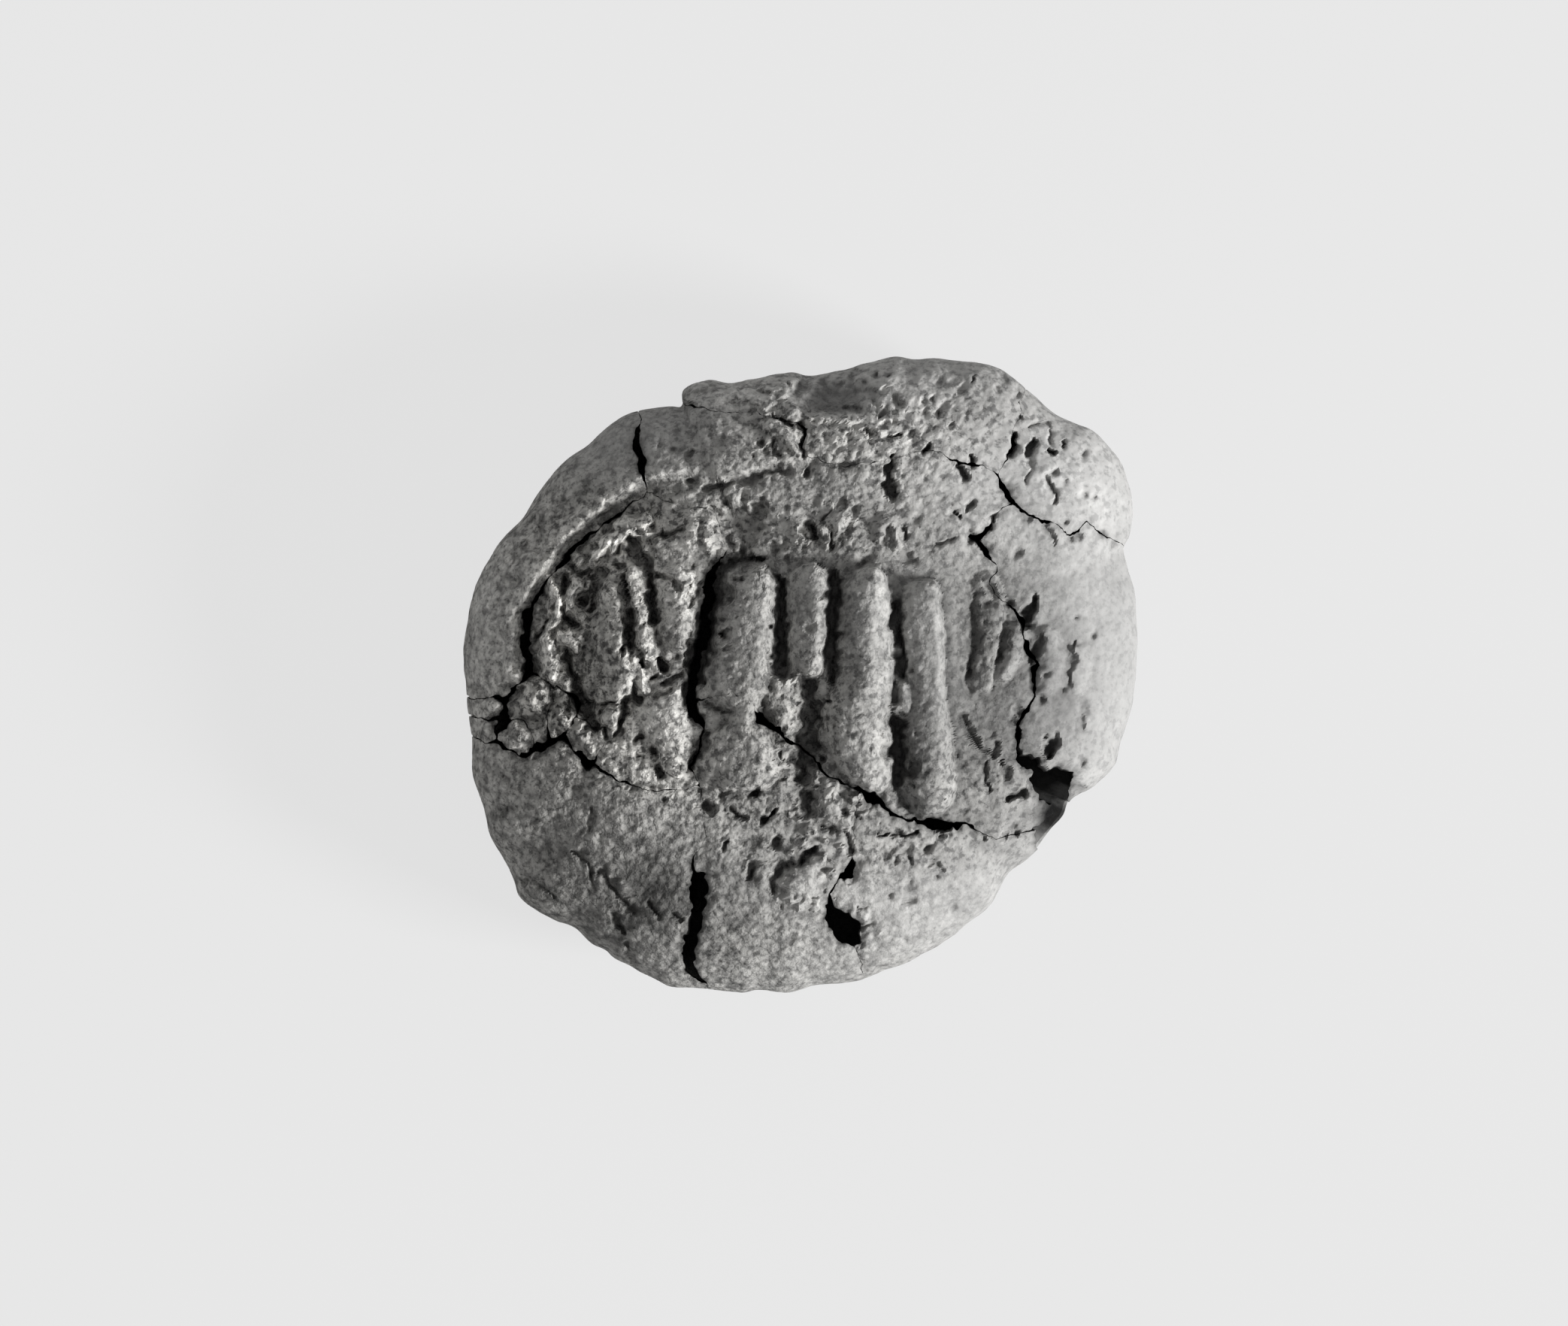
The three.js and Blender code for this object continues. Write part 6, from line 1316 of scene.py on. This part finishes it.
def fragment(name, points, triangles):
    """One closed fragment: its part of the face, its broken walls and its underside."""
    edges = boundary_edges(triangles)
    used, packed = np.unique(triangles, return_inverse=True)
    faces = packed.reshape(-1, 3).tolist()
    rim = np.unique(edges)
    brink = points[rim]
    all_points = np.vstack([points[used], *wall_rings(brink)])
    start, end = np.searchsorted(rim, edges).T
    upper = np.searchsorted(used, rim)
    for level in range(len(wall_shares)):
        lower = len(used) + level * len(rim) + np.arange(len(rim))
        faces += np.stack([upper[end], upper[start], lower[start], lower[end]], axis=1).tolist()
        upper = lower
    faces += underside(all_points, np.stack([upper[start], upper[end]], axis=1))
    obj = clay_object(name, weathered(all_points[:, :3]), faces)
    set_layers(obj, all_points[:, 3:].T)
    return obj


def band(low_ring, high_ring, count):
    """Faces between two rings of points, given by the numbers of their first points."""
    here = np.arange(count)
    after = (here + 1) % count
    return np.stack([low_ring + here, low_ring + after, high_ring + after, high_ring + here],
                    axis=1).tolist()


def back_body():
    """The lump behind the face, with the flat back below and the cord's channel through it."""
    angles = np.linspace(-math.pi, math.pi, side_count, endpoint=False)
    circle = np.stack([np.cos(angles), np.sin(angles)], axis=1) * outline_radius(angles)[:, None]
    heights = np.arange(0, seam_height + tuck_height, side_step)
    top = heights[-1]
    rings = [(share * back_base_share, 0) for share in base_ring_shares]
    for z in heights:
        rings.append((float(side_share(z)) - tuck_share * max(0, z - seam_height), z))
    rings += [(share, top) for share in top_ring_shares]
    points = [(0, 0, 0)]
    for share, z in rings:
        points.extend(np.column_stack([circle * share, np.full(side_count, z)]))
    points.append((0, 0, top))
    here = np.arange(side_count)
    after = (here + 1) % side_count
    faces = [[0, 1 + b, 1 + a] for a, b in zip(here, after)]
    first = 1
    for _ in rings[1:]:
        faces += band(first, first + side_count, side_count)
        first += side_count
    faces += [[first + a, first + b, len(points) - 1] for a, b in zip(here, after)]
    body = clay_object("back_clay", np.array(points, float), faces)
    cut(body, channel_tool())
    cut(body, opening_tool(top))
    weather_back(body)
    return body


def weather_back(body):
    """Moves the back body's points with the fragments' and gives it their tone. Its inside is
    painted dark as painted shade, and the patches' darkening, with the painted shade at the
    cord's mouth, runs down its side only a little way below the seam."""
    spots = np.array([v.co for v in body.data.vertices]) / MM
    body.data.vertices.foreach_set("co", (weathered(spots) * MM).ravel())
    body.data.update()
    x, y, z = spots.T
    within = (radius_share(spots) / side_share(z) < outer_share - tuck_share) & (z > side_step)
    near_seam = smooth(z, seam_height - dark_run_depth, seam_height)
    darkest = low_darkest_tone + (seam_darkest_tone - low_darkest_tone) * near_seam
    tone = np.maximum(1 + patches(x, y, stain_and_painted_light_shares), darkest)
    grain = grain_middle - grain_slope * x / half_width
    # The inside is painted dark as painted shade; the patches darken the side fully only near the
    # seam
    set_layers(body, [np.where(within, inner_shade_tone, tone), grain, np.full(len(x), crumble_base)])


def cut(body, tool):
    """Takes the tool's form out of the body, and then the tool away."""
    modifier = body.modifiers.new("cut", "BOOLEAN")
    modifier.operation = "DIFFERENCE"
    modifier.solver = "EXACT"
    modifier.object = tool
    graph = bpy.context.evaluated_depsgraph_get()
    mesh = bpy.data.meshes.new_from_object(body.evaluated_get(graph))
    body.modifiers.clear()
    body.data = mesh
    bpy.data.objects.remove(tool)


def tube(name, rings):
    """A closed tube through rings of points."""
    count = len(rings[0])
    faces = []
    for level in range(len(rings) - 1):
        faces += band(level * count, (level + 1) * count, count)
    faces.append(list(range(count))[::-1])
    faces.append([(len(rings) - 1) * count + i for i in range(count)])
    return clay_object(name, np.vstack(rings), faces)


def channel_tool():
    """A round bar along the cord's way."""
    start, end = placed(channel_end_shares)
    way = end - start
    length = np.hypot(*way)
    across = np.array([-way[1], way[0], 0]) / length
    turns = np.linspace(0, 2 * math.pi, channel_sides, endpoint=False)
    circle = np.outer(np.cos(turns), across) + np.outer(np.sin(turns), (0, 0, 1))
    middle = back_top - cord_diameter / 2
    steps = int(length / channel_step)
    rings = [np.array([*(start + way * step / steps), middle]) + cord_diameter / 2 * circle
             for step in range(steps + 1)]
    return tube("channel", rings)


def opening_tool(top):
    """An upright block by which the hole in the face opens into the channel."""
    corners = placed(hole_shares["cord_hole"])
    levels = (back_top - cord_diameter / 2, top + cut_overrun)
    return tube("opening", [np.column_stack([corners, np.full(len(corners), level)])
                            for level in levels])


def grey(level):
    return (level, level, level, 1)


def add_node(tree, kind, inputs, **settings):
    """A shader node. Each of its inputs takes a value or another node's output."""
    made = tree.nodes.new("ShaderNode" + kind)
    for name, value in settings.items():
        setattr(made, name, value)
    for key, value in inputs.items():
        if isinstance(value, bpy.types.NodeSocket):
            tree.links.new(value, made.inputs[key])
        else:
            made.inputs[key].default_value = value
    return made


clay_roughness = 0.92
clay_sheen = 0.2
clay_tint = (1, 0.995, 0.982)

# The material's clouds: the size of the forms, how detailed they are, and how rough
cloud_forms = {
    "tint": (3.2, 3, 0.6), "mottle": (0.6, 4, 0.7), "speck": (0.13, 2, 0.6),
    "pore": (0.3, 3, 0.6), "fine": (0.1, 2, 0.6),
}
granule_size, granule_stray, granule_detail = 0.34, 0.9, 2

# What the colour takes from each: stops of position and brightness
ramp_stops = {
    "tint": [(0.3, 0.27), (0.55, 0.33), (0.75, 0.39)],
    "mottle": [(0.3, 0.45), (0.5, 0.98), (0.7, 1.3)],
    "speck": [(0.3, 0.2), (0.46, 1.0), (0.7, 1.2)],
    # The granules' creases are painted shade, and their middles take a little painted light
    "granule": [(0.15, 1.25), (0.5, 1.0), (0.8, 0.4)],
    "pore": [(0.4, 0.15), (0.48, 1.0), (0.7, 1.15)],
}
mottle_gain, speck_gain, granule_shade_gain = 0.55, 0.48, 0.5
pore_bump, granule_bump, fine_bump = 0.07, -0.08, 0.022


def clay_material():
    material = bpy.data.materials.new("dried_clay")
    material.use_nodes = True
    tree = material.node_tree
    shader = tree.nodes["Principled BSDF"]
    shader.inputs["Roughness"].default_value = clay_roughness
    shader.inputs["Specular IOR Level"].default_value = clay_sheen
    place = add_node(tree, "TexCoord", {}).outputs["Object"]

    def clouds(name):
        size, detail, roughness = cloud_forms[name]
        return add_node(tree, "TexNoise", {
            "Vector": place, "Scale": 1 / (size * MM), "Detail": detail, "Roughness": roughness,
        }).outputs["Fac"]

    def granules():
        """Rounded grains with creases between them: 0 in their middles, 1 in the creases."""
        scale = 1 / (granule_size * MM)
        moved = add_node(tree, "TexNoise", {
            "Vector": place, "Scale": scale, "Detail": granule_detail,
        })
        shifted = add_node(tree, "VectorMath", {
            0: moved.outputs["Color"], 1: (granule_stray / scale,) * 3, 2: place,
        }, operation="MULTIPLY_ADD")
        return add_node(tree, "TexVoronoi", {
            "Vector": shifted.outputs["Vector"], "Scale": scale,
        }).outputs["Distance"]

    def ramp(value, name):
        stops = ramp_stops[name]
        made = add_node(tree, "ValToRGB", {"Fac": value})
        elements = made.color_ramp.elements
        while len(elements) < len(stops):
            elements.new(0.5)
        for element, (position, level) in zip(elements, stops):
            element.position = position
            element.color = (*(level * tint for tint in clay_tint), 1)
        return made.outputs["Color"]

    def layer(name, gain=1):
        found = add_node(tree, "Attribute", {}, attribute_name=name).outputs["Fac"]
        return add_node(tree, "Math", {0: found, 1: gain}, operation="MULTIPLY").outputs["Value"]

    def darkened(colour, amount, by):
        return add_node(tree, "Mix", {"Factor": amount, "A": colour, "B": by},
                        data_type="RGBA", blend_type="MULTIPLY").outputs["Result"]

    def bump(depth, value, below=None):
        inputs = {"Distance": depth * MM, "Strength": layer("grain"), "Height": value}
        if below:
            inputs["Normal"] = below
        return add_node(tree, "Bump", inputs).outputs["Normal"]

    grains = granules()
    colour = ramp(clouds("tint"), "tint")
    colour = darkened(colour, layer("grain", mottle_gain), ramp(clouds("mottle"), "mottle"))
    colour = darkened(colour, layer("grain", speck_gain), ramp(clouds("speck"), "speck"))
    # Painted shade in the creases between the granules
    colour = darkened(colour, layer("grain", granule_shade_gain), ramp(grains, "granule"))
    colour = darkened(colour, layer("crumble"), ramp(clouds("pore"), "pore"))
    # The tone layer carries the stains and the painted shade and highlights
    toned = add_node(tree, "VectorMath", {0: colour, "Scale": layer("tone")}, operation="SCALE")
    tree.links.new(toned.outputs["Vector"], shader.inputs["Base Color"])

    coarse = bump(pore_bump, clouds("pore"))
    rounded = bump(granule_bump, grains, coarse)
    tree.links.new(bump(fine_bump, clouds("fine"), rounded), shader.inputs["Normal"])
    return material


clay = clay_material()


def finish_piece(obj, *nodes):
    obj.data.materials.append(clay)
    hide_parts(*nodes)
    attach(obj, "root")


fragment_names, labels = fragment_labels()
whole = without_scraps(labels)

# How far each place lies inside its fragment. On a neighbour's clay it is below zero, by as
# much as the place lies beyond the crack.
own_reach = np.minimum(crack_distance, edge_distance)
own_reach[~whole] = np.minimum(own_reach[~whole], -scrap_reach)
other_reach = -np.abs(crack_distance + 2 * crack_half)
for number, node_name in enumerate(fragment_names):
    reach = np.where(labels == number, own_reach, np.minimum(own_reach, other_reach))
    finish_piece(fragment(node_name + "_clay", *face_part(reach)), node_name)
finish_piece(back_body(), "back_body")

# Floor, world, lamp and camera
view_centre = (-0.64, 0.40)
view_width = 58.1
view_distance = 640
view_reach = 100000
sensor_width = 36
floor_half = 4000
background = 0.80
floor_glow_share = 0.9
sky_level = 0.38
key_lamp = {"azimuth": -18, "elevation": 26, "distance": 700, "size": 160, "level": 1.54}


def floor():
    corners = [(x * floor_half * MM, y * floor_half * MM, 0)
               for x, y in ((-1, -1), (1, -1), (1, 1), (-1, 1))]
    mesh = bpy.data.meshes.new("floor")
    mesh.from_pydata(corners, [], [[0, 1, 2, 3]])
    obj = bpy.data.objects.new("floor", mesh)
    bpy.context.scene.collection.objects.link(obj)
    material = bpy.data.materials.new("pale_floor")
    material.use_nodes = True
    tree = material.node_tree
    tree.nodes.clear()
    paper = add_node(tree, "BsdfDiffuse", {"Color": grey(background)})
    glow = add_node(tree, "Emission", {"Color": grey(background)})
    seen = add_node(tree, "LightPath", {}).outputs["Is Camera Ray"]
    amount = add_node(tree, "Math", {0: seen, 1: floor_glow_share}, operation="MULTIPLY")
    mix = add_node(tree, "MixShader", {
        "Fac": amount.outputs["Value"], 1: paper.outputs["BSDF"], 2: glow.outputs["Emission"],
    })
    add_node(tree, "OutputMaterial", {"Surface": mix.outputs["Shader"]})
    mesh.materials.append(material)


def world():
    made = bpy.data.worlds.new("studio")
    bpy.context.scene.world = made
    made.use_nodes = True
    tree = made.node_tree
    tree.nodes.clear()
    sky = add_node(tree, "Background", {"Color": grey(1), "Strength": sky_level})
    backdrop = add_node(tree, "Background", {"Color": grey(background)})
    mix = add_node(tree, "MixShader", {
        "Fac": add_node(tree, "LightPath", {}).outputs["Is Camera Ray"],
        1: sky.outputs["Background"], 2: backdrop.outputs["Background"],
    })
    add_node(tree, "OutputWorld", {"Surface": mix.outputs["Shader"]})


def lamp(name, azimuth, elevation, distance, size, level):
    """A square soft box aimed at the bulla. At level 1 it lights a white surface that faces
    it to white."""
    turn, rise = math.radians(azimuth), math.radians(elevation)
    toward = Vector((math.cos(turn) * math.cos(rise), math.sin(turn) * math.cos(rise),
                     math.sin(rise)))
    data = bpy.data.lights.new(name, "AREA")
    data.shape = "SQUARE"
    data.size = size * MM
    data.energy = level * (math.pi * distance * MM) ** 2
    obj = bpy.data.objects.new(name, data)
    obj.location = toward * distance * MM
    obj.rotation_euler = toward.to_track_quat("Z", "Y").to_euler()
    bpy.context.scene.collection.objects.link(obj)


def camera():
    data = bpy.data.cameras.new("camera")
    data.sensor_width = sensor_width
    data.lens = view_distance * sensor_width / view_width
    data.clip_end = view_reach * MM
    obj = bpy.data.objects.new("camera", data)
    obj.location = Vector((*view_centre, edge_height + view_distance)) * MM
    bpy.context.scene.collection.objects.link(obj)
    bpy.context.scene.camera = obj


floor()
world()
lamp("key", **key_lamp)
camera()
bpy.context.scene.view_settings.view_transform = "Standard"
